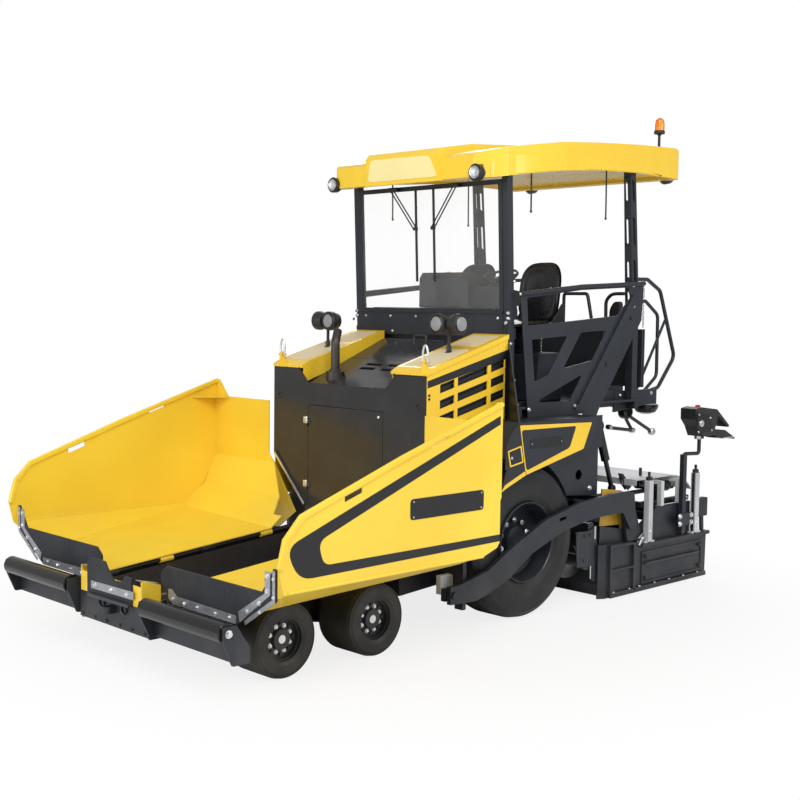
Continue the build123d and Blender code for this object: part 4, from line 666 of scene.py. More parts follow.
for side, tag in SIDES:
    wing = f"wing_{tag}"
    stripe = rounded(WING_STRIPE, WING_STRIPE_CURVES)
    side_plate(f"flank_stripe_{tag}", [stripe], FLANK_Y, 1.2, side, STRIPE, wing)
    side_plate(f"flank_plate_{tag}", [rounded(FLANK_PLATE, 30)], FLANK_Y, 2.5, side, STRIPE, wing, 0.0006)
    tube(f"wing_rim_bead_{tag}", on_side(1781, WING_RIM, side), 0.021, HOPPER_LIT_YELLOW, wing, smooth=False)
    tube(f"wing_sill_bead_{tag}", on_side(1789, [(3040, 768), (1184, 768)], side), 0.012, HOPPER_LIT_YELLOW, wing)
    rivets = [(x, z) for x in (1920, 1220) for z in (1140, 1248)]
    side_bolts(f"wing_plate_rivets_{tag}", rivets, FLANK_Y + 2.5, side, 0.007, body=wing, washer=False)
    side_plate(f"flank_corner_{tag}", [FLANK_CORNER], 1780, 9.6, side, HOPPER_LIT_YELLOW, wing)
    front_plate(f"apron_backing_{tag}", [APRON_BACKING], CLAMP_X - 6, 5.6, side, SHEET_RUBBER, wing)
    seal = [(x, hinge_height(x) + rise) for x, rise in ((3035, 14), (1010, 14), (1010, -110), (3035, -110))]
    side_plate(f"hinge_seal_{tag}", [seal], 476, 4, side, SHEET_RUBBER)
    front_plate(f"wing_rear_lip_{tag}", [REAR_LIP], 991, 4, side, HOPPER_LIT_YELLOW, wing)
    clamps = (("side", SIDE_CLAMP, 5), ("low", rounded(LOW_CLAMP, 10), 5), ("outer", OUTER_CLAMP, 3))
    for part, outline, thick in clamps:
        front_plate(f"apron_{part}_clamp_{tag}", [outline], CLAMP_X, thick, side, GALVANISED, wing, 0.0012)
    # Painted shade: each slit is a thin near-black strip standing for the dark inside of the cut.
    for n, y in enumerate((616, 884, 1157)):
        front_plate(f"apron_slit_shade_{n}_{tag}", [slit(y, 610, 742)], CLAMP_X, 0.6, side, STRIPE, wing)
    front_bolts(f"apron_bolts_{tag}", CLAMP_BOLTS, CLAMP_X + 5, side, 0.014, body=wing)
    rim_bolts = [(1540, 606), (1686, 730), (1686, 850)]
    front_bolts(f"apron_rim_bolts_{tag}", rim_bolts, CLAMP_X + 3, side, 0.011, body=wing)

# ---- middle apron, trough lips and push rollers
MIDDLE_X = 3250
MIDDLE_CLAMP = [(-240, 552), (330, 560), (330, 500), (-240, 494)]
LOW_ANGLE = [(-250, 466), (300, 472), (300, 448), (-250, 442)]
TROUGH_LIP = [(3240, 340, 644), (3240, 396, 644), (3082, 396, 604), (3082, 340, 604)]
ROLLER_X, ROLLER_Z = 3264, 482

front_plate("apron_middle_clamp", [rounded(MIDDLE_CLAMP, 6)], MIDDLE_X, 5, 1, GALVANISED, edge=0.0012)
front_bolts("apron_middle_bolts", [(y, 527) for y in (-180, 40, 250)], MIDDLE_X + 5, 1, 0.014)
# Painted shade: each slit is a thin near-black strip standing for the dark inside of the cut.
for n, y in enumerate((-150, 60, 200)):
    front_plate(f"apron_middle_slit_shade_{n}", [slit(y, 470, 590)], MIDDLE_X, 0.6, 1, STRIPE)
slab("apron_low_angle", [on_front(MIDDLE_X, LOW_ANGLE)], (0.03, 0, -0.006), SMOOTH_DARK, edge=0.002)

for side, tag in SIDES:
    lip = [at(x, side * y, z) for x, y, z in TROUGH_LIP]
    slab(f"trough_lip_{tag}", [lip], (0, 0, 0.005), GALVANISED, edge=0.0012)
    side_bolts(f"push_pin_bolt_{tag}", [(ROLLER_X, ROLLER_Z)], 1470, side, 0.022)
    for part, end in (("lip", -1), ("ring", 1)):
        lip = [(0.048, end * 0.470), (0.050, end * 0.474), (0.066, end * 0.474), (0.069, end * 0.470)]
        middle = at(ROLLER_X, side * 976, ROLLER_Z)
        lathe(f"push_roller_{part}_{tag}", lip, middle, ACROSS, GLOSS, f"push_roller_{tag}", 64)
    row = [(420, 270), (250, 270), (90, 270), (420, 420)]
    front_bolts(f"skirt_bolts_{tag}", row, 3214, side, 0.012, DARK)
    hook = around(34, [math.pi * k / 6 for k in range(-1, 11)])
    tube(f"skirt_ring_{tag}", [at(3222, side * 150 + a, 400 + b) for a, b in hook], 0.010, SMOOTH_DARK)

# ---- hood and engine door
HOOD_Y = 955
HOOD_BAND = [(944, 2014), (944, 1956), (14, 2172), (14, 1362), (-19, 1362), (-19, 2252)]
LOUVRE_BACK = [(815, 1190), (815, 1990), (10, 2185), (10, 1390), (640, 1390), (700, 1190)]
LOUVRE_SLOPE = 0.25
HOOD_BOLTS = [(925, 1900), (925, 1870), (925, 1500), (925, 1300), (2, 2100), (2, 1700), (2, 1430)]
CAP_RISE = (2379 - 2116) / 920
SHACKLE = [
    (-1, -0.012), (-1, 0.03), (-1.15, 0.07), (-0.7, 0.125), (0, 0.14),
    (0.7, 0.125), (1.15, 0.07), (1, 0.03), (1, -0.012),
]
WEAR_BAR = [(937, 1270), (921, 1286), (506, 866), (522, 853)]
DOOR_X = 965
HALF_BARREL = [(0, -0.03), (0.0105, -0.03), (0.012, -0.026), (0.012, -0.003), (0.010, -0.001)]
DOOR_BARREL = HALF_BARREL + [(radius, -along) for radius, along in reversed(HALF_BARREL)]


def cap_z(x):
    """Height of the hood's cap."""
    return 2116 + (900 - x) * CAP_RISE


for side, tag in SIDES:
    side_plate(f"hood_band_{tag}", [HOOD_BAND], HOOD_Y, 1.2, side, STRIPE)
    side_plate(f"louvre_mesh_{tag}", [LOUVRE_BACK], 918, 4, side, MESH)
    for row in range(7):
        for n, (x0, x1) in enumerate(((800, 631), (593, 233), (191, 20))):
            z = 1982 - row * 126 + (800 - x0) * LOUVRE_SLOPE
            if z - 72 < 1400 and n:
                continue
            drop = (x0 - x1) * LOUVRE_SLOPE
            slat = on_side(942, [(x0, z - 40), (x1, z - 40 + drop), (x1, z - 36 + drop), (x0, z - 36)], side)
            slab(f"louvre_slat_{row}_{n}_{tag}", [slat], (0, -side * 0.018, 0.012), SMOOTH_DARK, edge=0)
    for n, (x0, x1, outer) in enumerate(((872, 420, 925), (330, 30, 905))):
        pad = rounded([(x0, 600), (x0, outer), (x1, outer), (x1, 600)], 24)
        loop = [at(x, side * y, cap_z(x) + 0.4) for x, y in pad]
        slab(f"hood_grip_pad_{n}_{tag}", [loop], (0, 0, 0.0022), GRIP, edge=0)
    eye = at(916, side * 898, 2160)
    tube(f"lift_shackle_bow_{tag}", [eye + Vector((0, y * 0.026, z)) for y, z in SHACKLE], 0.0085, ZINC)
    tube(f"lift_shackle_pin_{tag}", [eye + ACROSS * y for y in (-0.042, 0.042)], 0.0115, ZINC)
    row = [(600, 2056), (780, 2052), (940, 2052)]
    front_bolts(f"hood_front_bolts_{tag}", row, 962, side, 0.009, SMOOTH_DARK)
    side_bolts(f"hood_side_bolts_{tag}", HOOD_BOLTS, HOOD_Y + 1, side, 0.009, SMOOTH_DARK)
    front_plate(f"bulkhead_wear_{tag}", [rounded(WEAR_BAR, 6)], 979, 4, side, ZINC, edge=0.001)
    plug = [(0, -0.004), (0.019, -0.004), (0.0215, 0.002), (0.026, 0.003), (0.026, 0.0)]
    lathe(f"bulkhead_plug_{tag}", plug, at(DOOR_X, side * 870, 1800), AHEAD, PLASTIC, steps=32)

for n, z in enumerate((1034, 1594)):
    lathe(f"door_hinge_{n}", DOOR_BARREL, at(975, -487, z + 10), UP, ZINC, steps=24)
    leaf = rounded([(-500, z - 18), (-536, z - 18), (-536, z + 38), (-500, z + 38)], 5)
    front_plate(f"door_hinge_leaf_{n}", [leaf], 971.2, 2, 1, ZINC, edge=0.0006)
    front_bolts(f"door_hinge_bolts_{n}", [(-522, z - 6), (-522, z + 26)], 973, 1, 0.006, washer=False)
latch = [(0, 0.0125), (0.007, 0.0125), (0.0125, 0.010), (0.0135, 0.004), (0.0135, -0.001)]
lathe("door_latch", latch, at(DOOR_X, 420, 1690), AHEAD, ZINC, "bulkhead_door", 32)
bolts("deck_bolts", [at(930, y, 1917) for y in (-140, 290)], (0.39, 0, 0.92), ZINC, size=0.013)
collar = [(0.039, 0.0), (0.047, 0.0), (0.047, 0.03), (0.039, 0.034)]
lathe("exhaust_collar", collar, at(770, -350, 2020), UP, HEATED, steps=40)


# ---- lamps
def lamp_face(name, centre, axis, radius, bowl=MIRROR):
    """The glazed face of a work lamp: rim, bowl and pressed lens."""
    rim = [(0.80, 0.004), (0.86, 0.014), (0.97, 0.012), (1.0, 0.002), (1.0, -0.012)]
    dish = [(0, 0.0025), (0.25, 0.003), (0.55, 0.006), (0.82, 0.011)]
    glass = [(0, 0.0155), (0.4, 0.0145), (0.7, 0.012), (0.83, 0.0085)]
    for part, profile, look in (("rim", rim, GLOSS), ("bowl", dish, bowl), ("lens", glass, LENS)):
        lathe(f"{name}_{part}", [(radius * share, along) for share, along in profile], centre, axis, look)


for side, tag in SIDES:
    lamp_face(f"hood_lamp_ahead_{tag}", at(567, side * 680, 2465), AHEAD, 0.076, GLOSS)
    lamp_face(f"hood_lamp_aside_{tag}", at(500, side * 892, 2465), (0, side, 0), 0.076, GLOSS)
    lamp_face(f"roof_lamp_front_{tag}", at(350, side * 880, 3708), AHEAD, 0.064)
    lamp_face(f"roof_lamp_rear_{tag}", at(-2476, side * 850, 3890), (-1, 0, 0), 0.060)
    foot = [(0.0, 0.0), (0.034, 0.0), (0.034, 0.006), (0.022, 0.012), (0.022, 0.05), (0.016, 0.058)]
    spot = at(500, side * 760, cap_z(500) - 4)
    lathe(f"hood_lamp_foot_{tag}", foot, spot, UP, SMOOTH_DARK, steps=32)

# ---- fenders and their badge
SKIRT_Y = 1270
BADGE = [(178, 1644), (-789, 1618), (-676, 1393), (92, 1227)]
BADGE_HOLE = [(158, 1602), (-571, 1598), (-484, 1416), (86, 1262)]
BADGE_PLATE = [(40, 1440), (40, 1520), (-380, 1520), (-380, 1440)]
ARCH_EDGE = [(404, 1107), (350, 1166), (92, 1264), (84, 1229), (300, 1150)]
SKIRT_CORNER = [(181, 1665), (270, 1590), (342, 1480), (350, 1290), (327, 1290)]
HATCH = [(325, 1442), (154, 1477), (124, 1335), (292, 1306)]
HATCH_OPENING = [(308, 1432), (168, 1461), (141, 1345), (279, 1321)]
HATCH_LID = [(300, 1427), (176, 1452), (150, 1351), (272, 1329)]
FACET_OUT = Vector((0.931, 0, 0.365))
REAR_HUB_Z = 648
ARCH_RADIUS = 712


def facet_point(y, z, side):
    """A point on the sloped panel between the hood and the fender's skirt."""
    return at(181 + (1668 - z) * 0.392, side * y, z)


for side, tag in SIDES:
    frame_loops = [rounded(BADGE, 14), rounded(BADGE_HOLE, 30)]
    side_plate(f"badge_frame_{tag}", frame_loops, SKIRT_Y, 1.2, side, YELLOW)
    side_plate(f"arch_edge_{tag}", [ARCH_EDGE], SKIRT_Y, 1.2, side, YELLOW)
    side_plate(f"badge_plate_{tag}", [rounded(BADGE_PLATE, 14)], SKIRT_Y, 2.5, side, STRIPE, edge=0.0006)
    side_bolts(f"badge_rivets_{tag}", [(24, 1480), (-364, 1480)], SKIRT_Y + 2.5, side, 0.006, washer=False)
    facet = [facet_point(y, z, side) for y, z in ((958, 1668), (1259, 1668), (1259, 1372), (958, 1372))]
    slab(f"corner_panel_{tag}", [facet], FACET_OUT * -0.004, ROUGH_DARK, edge=0.001)
    side_plate(f"skirt_corner_{tag}", [SKIRT_CORNER], SKIRT_Y - 8, 8, side, DARK)
    frame_loops = [rounded(HATCH, 10), rounded(HATCH_OPENING, 8)]
    side_plate(f"hatch_frame_{tag}", frame_loops, SKIRT_Y, 1.5, side, YELLOW)
    side_plate(f"hatch_lid_{tag}", [rounded(HATCH_LID, 8)], SKIRT_Y, 4, side, SMOOTH_DARK, edge=0.001)
    lock = [(0.006, 0.0), (0.012, 0.002), (0.012, 0.005), (0.004, 0.006), (0, 0.005)]
    lathe(f"hatch_lock_{tag}", lock, at(278, side * 1274, 1383), (0, side, 0), ZINC, steps=24)
    box(f"post_gap_cover_{tag}", (-335, -92), (side * 941, side * 953), (1620, 1800), DARK, edge=0.002)
    side_bolts(f"post_gap_bolts_{tag}", [(-300, 1700), (-130, 1765)], 953, side, 0.010)
    side_bolts(f"fender_wall_bolt_{tag}", [(-960, 1010)], 1130, side, 0.018)
    liner = around(ARCH_RADIUS, [math.radians(80 + 7.5 * n) for n in range(13)])
    arc = liner + [(x * 1.008, z * 1.008) for x, z in reversed(liner)]
    arc = on_side(838, [(x, REAR_HUB_Z + z) for x, z in arc], side)
    slab(f"arch_liner_{tag}", [arc], (0, side * 0.281, 0), ROUGH_DARK, edge=0)

# ---- roof
ROOF_HALF = [(-2380, 1040), (-650, 1040), (60, 980), (330, 860)]
SWAGE = [
    (200, 3686, 3812), (-63, 3722, 3884), (-300, 3756, 3915), (-497, 3782, 3934),
    (-993, 3832, 3949), (-1523, 3860, 3924), (-1897, 3864, 3888), (-2080, 3862, 3868),
]
BROW = [(-405, 3700), (-385, 3885), (-300, 3893), (290, 3886), (355, 3878), (455, 3700)]


def roof_half(x):
    """Half width of the roof at x."""
    for (x0, y0), (x1, y1) in zip(ROOF_HALF, ROOF_HALF[1:]):
        if x <= x1:
            return y0 + (y1 - y0) * (x - x0) / (x1 - x0)


for side, tag in SIDES:
    bm = bmesh.new()
    rows = []
    for x, low, high in SWAGE:
        section = ((-1, low), (5, low + 4), (5, high - 8), (-1, high))
        rows.append([bm.verts.new(at(x, side * (roof_half(x) + out), z)) for out, z in section])
    skin(bm, rows, closed=False)
    from_bmesh(f"roof_side_swage_{tag}", bm, YELLOW, "chassis", smooth=True)

# The brow is painted with the lit copy of the yellow: painted light.
front_plate("brow_plate", [rounded(BROW, 45)], 352, 3, 1, PALE_LIT_YELLOW, edge=0.001)
for side, tag in SIDES:
    for n, x in enumerate((-390, -1460)):
        rod = [at(x, side * 860, 3880), at(x - 4, side * 862, 3640), at(x - 6, side * 860, 3440)]
        tube(f"roof_rod_{n}_{tag}", rod, 0.0075, SMOOTH_DARK)
        tip = [(0, -0.012), (0.010, -0.010), (0.011, 0.0), (0.008, 0.010)]
        lathe(f"roof_rod_tip_{n}_{tag}", tip, at(x - 6, side * 860, 3436), UP, PLASTIC, steps=20)
BEACON_BASE = [(0.0, -0.004), (0.050, -0.004), (0.052, 0.0), (0.052, 0.022), (0.048, 0.028), (0.0, 0.028)]
BEACON_COLLAR = [
    (0.012, -0.150), (0.030, -0.146), (0.030, -0.140), (0.013, -0.132), (0.013, -0.02), (0.030, -0.004),
]
lathe("beacon_base", BEACON_BASE, at(-2260, 880, 4290), UP, PLASTIC, steps=40)
lathe("beacon_collar", BEACON_COLLAR, at(-2260, 880, 4290), UP, PLASTIC, steps=32)

# ---- seats
SEAT_Y = 400
SEAT_POST = [(-1080, 1762), (-710, 1762), (-740, 2200), (-1050, 2200)]
SEAT_HINGE = [(-1188, 2440), (-1192, 2640), (-1150, 2650), (-1110, 2600), (-1000, 2470), (-1010, 2440)]


def cushion(name, spot, side, look, seam=0.78, rings=16, steps=64):
    """A crowned closed pad with a sewn channel: spot places what is -1 to 1 along, across and through."""
    bm = bmesh.new()
    rows = []
    for k in range(2 * rings + 1):
        t = k / rings
        r = t if t <= 1 else 2 - t
        w = math.sqrt(max(0.0, 1 - r ** 3)) * (1 if t <= 1 else -1)
        if t < 1:
            w -= 0.22 * math.exp(-((r - seam) / 0.03) ** 2)
        turns = [2 * math.pi * n / steps for n in range(steps if 0 < k < 2 * rings else 1)]
        outline = [[math.copysign(abs(q) ** 0.55, q) * r for q in pair] for pair in around(1, turns)]
        rows.append([bm.verts.new(spot(side, u, v, w)) for u, v in outline])
    skin(bm, rows)
    return from_bmesh(name, bm, look, "chassis", smooth=True)


def back_spot(side, u, v, w):
    """The seat's back: hollow across, and narrower at the top."""
    wide = 236 * (1 - 0.13 * max(u, 0) ** 3)
    deep = 52 * v * v * (1 - 0.35 * u) + 32 * w
    return at(-1132 - 20 * u + deep, side * SEAT_Y + wide * v, 2752 + 276 * u)


def pan_spot(side, u, v, w):
    """The seat's pan: raised at its sides and rear, and rounded down in front."""
    lift = 30 * v * v + 26 * max(-u, 0) ** 2
    return at(-870 + 205 * u, side * SEAT_Y + 212 * v, 2440 + 44 * w + lift - 12 * max(u, 0) ** 2)


def shell_spot(side, u, v, w):
    """The hard shell behind the back."""
    return back_spot(side, u * 1.01, v * 1.015, 0.0) + Vector(((-26 + 12 * w) / 1000, 0, 0))


seat_parts = []
for side, tag in SIDES:
    for part, spot in (("back", back_spot), ("pan", pan_spot)):
        pad = cushion(f"seat_{part}_{tag}", spot, side, VINYL)
        seat_parts.append(pad)
    post = [at(x, side * SEAT_Y - 0.15, z) for x, z in SEAT_POST]
    folds = []
    for n in range(9):
        folds += [(0.155, 2.196 + n * 0.022), (0.172, 2.207 + n * 0.022)]
    bellows = [(0.0, 2.190), *folds, (0.155, 2.394), (0.0, 2.400)]
    seat_parts += [
        cushion(f"seat_shell_{tag}", shell_spot, side, GLOSS, seam=2.0),
        slab(f"seat_pedestal_{tag}", [post], ACROSS * 0.30, ROUGH_DARK, edge=0.012),
        lathe(f"seat_bellows_{tag}", bellows, at(-880, side * SEAT_Y, 0), UP, VINYL, steps=40),
    ]
    for n, y in enumerate((SEAT_Y + 214, SEAT_Y - 226)):
        hinge = [rounded(SEAT_HINGE, 12)]
        seat_parts.append(side_plate(f"seat_hinge_{n}_{tag}", hinge, y, 12, side, PLASTIC, edge=0.003))
for made in seat_parts:
    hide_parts("seats")

# ---- steering wheel
TILT = Vector((0.42, 0, 0.907))
HUB = at(-500, 400, 2868)
ALONG = ACROSS.cross(TILT)


def wheel_points(radius, angles):
    return [HUB + (ACROSS * math.cos(a) + ALONG * math.sin(a)) * radius for a in angles]


tube("steering_rim", wheel_points(0.185, [2 * math.pi * k / 32 for k in range(33)]), 0.0125, VINYL)
for n in range(3):
    end = wheel_points(0.183, [math.pi / 2 + 2 * math.pi * n / 3])
    tube(f"steering_spoke_{n}", [HUB - TILT * 0.02, *end], 0.009, SMOOTH_DARK)
boss = [(0.0, 0.012), (0.030, 0.008), (0.036, 0.0), (0.030, -0.03), (0.022, -0.16), (0.0, -0.17)]
lathe("steering_hub", boss, HUB, TILT, PLASTIC, steps=36)

# ---- posts and platform sides
PLATFORM_Y = 1011
POST_Y = 951
PLATFORM_BOLTS = [
    (-105, 2720), (-503, 2768), (-908, 2798), (-1312, 2822),
    (-1721, 2826), (-1730, 2632), (-1300, 2193), (-875, 1741),
]
LOCKER = [(520, 1868), (992, 1868), (992, 2418), (800, 2418), (520, 2050)]
SCREEN_BOLTS = [
    (939, 2560), (938, 2515), (-939, 2560), (-938, 2515), (-815, 2516),
    (-484, 2517), (-154, 2517), (830, 2514), (917, 2472), (-456, 2380),
]

for side, tag in SIDES:
    side_bolts(f"platform_side_bolts_{tag}", PLATFORM_BOLTS, PLATFORM_Y, side, 0.0125)
    side_bolts(f"platform_foot_bolts_{tag}", [(-241, 1736), (-396, 1633)], PLATFORM_Y, side, 0.015)
    side_bolts(f"platform_side_plugs_{tag}", [(-1328, 2102), (-1692, 2525)], PLATFORM_Y, side, 0.014, DARK)
    upper = [(-91, 2826), (-19, 2558), (-25, 2513), (9, 2480)]
    side_bolts(f"front_post_bolts_{tag}", upper, POST_Y, side, 0.011)
    for n, spot in enumerate(((-60, 2300), (-110, 1990), (-160, 1780))):
        side_bolts(f"post_foot_bolt_{n}_{tag}", [spot], POST_Y, side, 0.010)
    front_plate(f"locker_side_{tag}", [LOCKER], -1930, 8, side, ROUGH_DARK, edge=0.001)
    box(f"locker_edge_{tag}", (-1952, -1906), (side * 940, side * 992), (1868, 2418), DARK)
front_bolts("screen_frame_bolts", SCREEN_BOLTS, -22, 1, 0.010)

# ---- rear of the platform and its step
LOOPS = (
    [(66, 2420), (66, 2700), (70, 2753), (120, 2753), (300, 2753), (353, 2753), (370, 2700), (430, 2420)],
    [(584, 2420), (582, 2600), (580, 2685), (640, 2745), (700, 2753), (740, 2753), (800, 2753)],
)
REAR_BOX = [(596, 2420), (600, 2600), (650, 2677), (723, 2680), (730, 2420)]
STEP_Y = 800
STEP_LAMP = [
    (0.0, 0.010), (0.115, 0.010), (0.125, 0.0), (0.120, -0.030), (0.096, -0.068), (0.05, -0.086), (0, -0.090),
]
STEP_LINKS = (((-1900, 1610), (-2051, 1437)), ((-1660, 1485), (-2051, 1437)), ((-1950, 1600), (-2383, 1405)))
STEP_JOINTS = ((-2051, 1437, 0.026), (-2383, 1405, 0.036), (-1680, 1488, 0.024))
STEP_PIVOT = [
    (0, -0.05), (0.062, -0.046), (0.070, -0.03), (0.070, 0.03), (0.050, 0.05), (0.030, 0.052), (0, 0.052),
]


def chain_link(bm, middle, crossways):
    """One oval link of round bar, upright, lying across the machine or along it."""
    swing, flat = ACROSS, AHEAD
    if crossways:
        swing, flat = flat, swing
    rows = []
    for across, up in around(1, [2 * math.pi * k / 12 for k in range(12)]):
        core = swing * (across * 0.009) + UP * (up * 0.019)
        out = core.normalized()
        bar = around(0.0034, [2 * math.pi * j / 6 for j in range(6)])
        rows.append([bm.verts.new(middle + core + out * a + flat * b) for a, b in bar])
    skin(bm, rows + rows[:1])


for side, tag in SIDES:
    for n, path in enumerate(LOOPS):
        tube(f"rear_loop_{n}_{tag}", on_front(-1880, path, side), 0.017, DARK)
    front_plate(f"rear_box_{tag}", [rounded(REAR_BOX, 30)], -1905, -60, side, PLASTIC, edge=0.01)
    chain = bmesh.new()
    for n in range(15):
        chain_link(chain, at(-2478, side * 600, 2820 - n * 27), n % 2)
    from_bmesh(f"step_chain_{tag}", chain, ZINC, "chassis", smooth=True)
    side_bolts(f"step_bracket_bolts_{tag}", [(-1702, 1795), (-2203, 1801)], 906, side, 0.014)
    box(f"step_beam_{tag}", (-2298, -1610), (side * 880, side * 906), (1690, 1838), DARK)
    box(f"step_box_{tag}", (-1615, -1400), (side * 820, side * 900), (1700, 1858), PLASTIC, edge=0.01)
    lathe(f"step_lamp_{tag}", STEP_LAMP, at(-2418, side * 700, 1660), UP, GLOSS, steps=40)
    for n, ends in enumerate(STEP_LINKS):
        tube(f"step_link_{n}_{tag}", on_side(STEP_Y, ends, side), 0.017, SMOOTH_DARK)
    for n, (x, z, r) in enumerate(STEP_JOINTS):
        joint = [(0, -0.030), (r * 0.8, -0.028), (r, -0.018), (r, 0.018), (r * 0.8, 0.028), (0, 0.030)]
        lathe(f"step_link_joint_{n}_{tag}", joint, at(x, side * STEP_Y, z), ACROSS, ZINC, steps=28)
    lathe(f"step_pivot_{tag}", STEP_PIVOT, at(-1940, side * STEP_Y, 1622), ACROSS, GLOSS, steps=36)
    box(f"step_pivot_hanger_{tag}", (-1990, -1890), (side * 786, side * STEP_Y), (1600, 1700), DARK)

# ---- screed extensions and their controls
OCHRE_PLATE = [
    (-1075, 650), (-1110, 990), (-1400, 950), (-1478, 700),
    (-1590, 590), (-1590, 452), (-1420, 452), (-1380, 640),
]
SLEEVE_Y = 1312
DEPTH_SCREW = [(0, 0.0), (0.030, 0.0), (0.030, 0.03), (0.013, 0.034), (0.013, 0.075), (0, 0.078)]
POST_PLATE = [(-2384, 551), (-2384, 667), (-2130, 667), (-2130, 551)]
JUNCTION_BOX = [(-2516, 601), (-2516, 782), (-2660, 782), (-2660, 601)]
STOP_BUTTON = [(0.012, -0.03), (0.012, 0.0), (0.024, 0.002), (0.026, 0.014), (0.016, 0.022), (0, 0.023)]
CONTROL_CASE = [(-2275, 1425), (-2275, 1640), (-2520, 1600), (-2560, 1440)]
CONTROL_Y = 1389
SOLE_STRIP = [(-1104, 41), (-1104, 56), (-2656, 56), (-2656, 41)]
END_CLAMP = [
    (0.0, -0.06), (0.016, -0.06), (0.016, 0.0), (0.022, 0.004), (0.022, 0.03), (0.012, 0.036), (0, 0.036),
]
RAM_Y = 1000
RAM = [
    (0, 0.0), (0.036, 0.0), (0.040, 0.01), (0.040, 0.25), (0.046, 0.252), (0.046, 0.31), (0.030, 0.318),
    (0.014, 0.318), (0.014, 0.40), (0.024, 0.405), (0.024, 0.43), (0, 0.432),
]
RAM_END = [(0.014, 0.0), (0.052, 0.0), (0.056, 0.01), (0.056, 0.09), (0.05, 0.10), (0, 0.10)]
CLEVIS = [(-1581, 1078), (-1620, 1070), (-1760, 935), (-1700, 905), (-1640, 960)]
BEAM_Y = 1110
BEAM_FITTING = [(0, 0.0), (0.022, 0.0), (0.022, 0.02), (0.012, 0.024), (0.012, 0.04), (0, 0.042)]

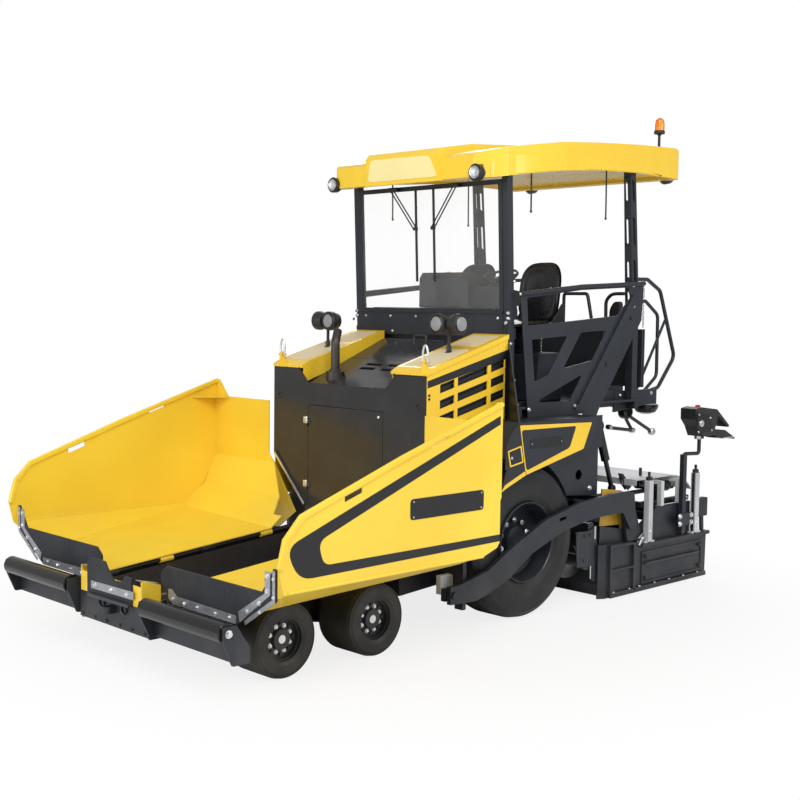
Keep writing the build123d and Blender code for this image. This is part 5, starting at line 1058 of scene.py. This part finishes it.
for side, tag in SIDES:
    wide = f"extension_{tag}"
    for part, y, out in (("out", 1162, 1.2), ("in", 1150, -1.2)):
        side_plate(f"screed_bracket_{part}_{tag}", [OCHRE_PLATE], y, out, side, OCHRE, "screed")
    for n, (x, top) in enumerate(((-1665, 1035), (-2440, 1042))):
        sleeve = (side * (SLEEVE_Y - 64), side * SLEEVE_Y)
        box(f"depth_sleeve_{n}_{tag}", (x - 33, x + 33), sleeve, (462, top), SLEEVE, wide, 0.008)
        foot = (side * (SLEEVE_Y - 69), side * (SLEEVE_Y - 14))
        box(f"depth_sleeve_foot_{n}_{tag}", (x - 90, x + 60), foot, (452, 470), SLEEVE, wide, 0.004)
        lathe(f"depth_screw_{n}_{tag}", DEPTH_SCREW, at(x, side * 1280, top), UP, PLASTIC, wide, 24)
        side_bolts(f"depth_sleeve_bolts_{n}_{tag}", [(x, 560), (x, 640)], SLEEVE_Y, side, 0.012, body=wide)
    box(f"control_post_{tag}", (-2268, -2212), (side * 1246, side * 1294), (470, 1232), DARK, wide, 0.005)
    side_plate(f"control_post_plate_{tag}", [rounded(POST_PLATE, 8)], 1294, 10, side, DARK, wide, 0.002)
    corners = [(-2153, 645), (-2345, 643), (-2153, 573), (-2345, 573)]
    side_bolts(f"control_post_bolts_{tag}", corners, 1304, side, 0.020, body=wide)
    side_plate(f"junction_box_{tag}", [rounded(JUNCTION_BOX, 12)], 1225, 62, side, PLASTIC, wide, 0.005)
    stem = on_side(1256, [(-2600, 601), (-2604, 540), (-2610, 452)], side)
    tube(f"junction_stem_{tag}", stem, 0.022, SMOOTH_DARK, wide)
    lathe(f"stop_button_{tag}", STOP_BUTTON, at(-2395, side * 1310, 1678), (0.08, 0, 1), RED, wide, 28)
    box(f"control_tray_lip_{tag}", (-2955, -2760), (side * 1225, side * 1375), (1357, 1368), ZINC, wide)
    box(f"control_rack_{tag}", (-2790, -2650), (side * 1240, side * 1360), (1368, 1440), PLASTIC, wide, 0.012)
    side_plate(f"control_case_{tag}", [rounded(CONTROL_CASE, 20)], CONTROL_Y - 8, 8, side, GLOSS, wide, 0.003)
    dial = [(0, 0.016), (0.030, 0.014), (0.034, 0.006), (0.034, 0.0)]
    lathe(f"control_dial_{tag}", dial, at(-2340, side * CONTROL_Y, 1530), (0, side, 0), ZINC, wide, 32)
    corners = [(-2300, 1450), (-2300, 1615), (-2500, 1575), (-2530, 1455)]
    side_bolts(f"control_case_bolts_{tag}", corners, CONTROL_Y, side, 0.008, body=wide)
    clamp = [(0.020, -0.03), (0.034, -0.026), (0.034, 0.03), (0.022, 0.036)]
    lathe(f"control_clamp_{tag}", clamp, at(-2440, side * 1290, 1395), UP, ZINC, wide, 28)
    side_plate(f"sole_strip_{tag}", [SOLE_STRIP], 1284, 4, side, BRIGHT_DARK, wide, 0.002)
    row = [at(x, side * 1274, 54) for x in (-1160, -1400, -1560, -1800, -2040, -2280, -2520)]
    bolts(f"sole_bolts_{tag}", row, UP, ZINC, wide)
    box(f"panel_rail_{tag}", (-2520, -1660), (side * 1288, side * 1291), (252, 266), BRIGHT_DARK, wide, 0.001)
    corners = [(-1660, 320), (-1660, 120), (-2560, 320), (-2560, 120)]
    side_bolts(f"panel_bolts_{tag}", corners, 1270, side, 0.016, DARK, wide)
    lathe(f"end_clamp_{tag}", END_CLAMP, at(-1590, side * 1262, 480), (-0.6, 0, 0.8), GALVANISED, wide, 28)
    bar = [at(-1540, side * 1262, 500), at(-1640, side * 1262, 560), at(-1690, side * 1240, 540)]
    tube(f"end_clamp_bar_{tag}", bar, 0.009, GALVANISED, wide)
    for n, (x, z) in enumerate((((-976, -960), (556, 672)), ((-920, -904), (205, 319)))):
        box(f"guard_strip_{n}_{tag}", x, (side * 1196, side * 1201), z, ZINC, edge=0.001)
    side_bolts(f"guard_bolts_{tag}", [(-820, 600), (-820, 380), (-900, 600)], 1196, side, 0.014, DARK)

    # ---- under the walkway
    ram_along = (-0.98, 0, -0.10)
    lathe(f"walkway_ram_{tag}", RAM, at(-1860, side * RAM_Y, 946), ram_along, GLOSS, "screed", 36)
    lathe(f"walkway_ram_end_{tag}", RAM_END, at(-2270, side * RAM_Y, 905), ram_along, PLASTIC, "screed", 36)
    lever = on_side(RAM_Y, [(-1925, 985), (-1925, 1100)], side)
    tube(f"walkway_lever_{tag}", lever, 0.015, PLASTIC, "screed")
    for n, y in enumerate((RAM_Y - 15, RAM_Y + 15)):
        side_plate(f"ram_clevis_{n}_{tag}", [CLEVIS], y, 6, side, DARK, "screed", 0.002)
    box(f"ram_base_{tag}", (-2420, -1640), (side * 950, side * 1050), (864, 884), DARK, "screed")
    beam, post = (side * 1060, side * BEAM_Y), (side * 1010, side * 1100)
    box(f"walkway_beam_{tag}", (-2600, -1850), beam, (738, 792), SMOOTH_DARK, "screed", 0.006)
    box(f"walkway_post_{tag}", (-2160, -2080), post, (740, 880), SMOOTH_DARK, "screed", 0.006)
    for n, (x, look) in enumerate(((-1880, PLASTIC), (-2080, ZINC), (-2300, PLASTIC), (-2520, ZINC))):
        spot = at(x, side * BEAM_Y, 765)
        lathe(f"beam_fitting_{n}_{tag}", BEAM_FITTING, spot, (0, side, 0), look, "screed", 24)
box("walkway_cross_beam", (-1850, -1790), (-BEAM_Y, BEAM_Y), (738, 790), SMOOTH_DARK, "screed", 0.006)

# ---- wheels and what hangs beneath the hopper
SMALL_HUB_Z = 274
SMALL_HUB_Y = 1045 + 113
HUB_COVER = [(0, 0.028), (0.030, 0.028), (0.034, 0.022), (0.056, 0.018), (0.060, 0.010), (0.060, 0.0)]
TYRE_RINGS = ((0.262, 1221), (0.214, 1227))

for side, tag in SIDES:
    for axle, axle_x in (("front", 2592), ("middle", 1726)):
        body = f"wheel_{axle}_{tag}"
        studs = around(95, [math.pi * (2 * k + 1) / 8 for k in range(8)])
        spots = [(axle_x + a, SMALL_HUB_Z + b) for a, b in studs]
        side_bolts(f"hub_bolts_{axle}_{tag}", spots, SMALL_HUB_Y, side, 0.014, body=body)
        hub = at(axle_x, side * SMALL_HUB_Y, SMALL_HUB_Z)
        lathe(f"hub_cover_{axle}_{tag}", HUB_COVER, hub, (0, side, 0), ZINC, body, 40)
        for n, (radius, y) in enumerate(TYRE_RINGS):
            bead = [(radius + out, along) for out, along in
                    ((-0.006, -0.003), (-0.003, 0.0015), (0.003, 0.0015), (0.006, -0.003))]
            spot = at(axle_x, side * y, SMALL_HUB_Z)
            lathe(f"tyre_ring_{axle}_{n}_{tag}", bead, spot, (0, side, 0), SOLID_TYRE, body, 64)
    rear_wheel = f"rear_wheel_{tag}"
    studs = around(172, [2 * math.pi * (k + 0.5) / 10 for k in range(10)])
    nuts = [(a, REAR_HUB_Z + b) for a, b in studs]
    side_bolts(f"wheel_nuts_{tag}", nuts, 1077.5, side, 0.019, body=rear_wheel)
    rim = [(0.328, 0.0), (0.332, 0.006), (0.338, 0.007), (0.341, 0.0)]
    lathe(f"rim_lip_{tag}", rim, at(0, side * 1218, REAR_HUB_Z), (0, side, 0), SMOOTH_DARK, rear_wheel, 72)
    box(f"frame_block_{tag}", (777, 924), (side * 1060, side * 1110), (321, 474), PALE_PLASTIC, edge=0.006)
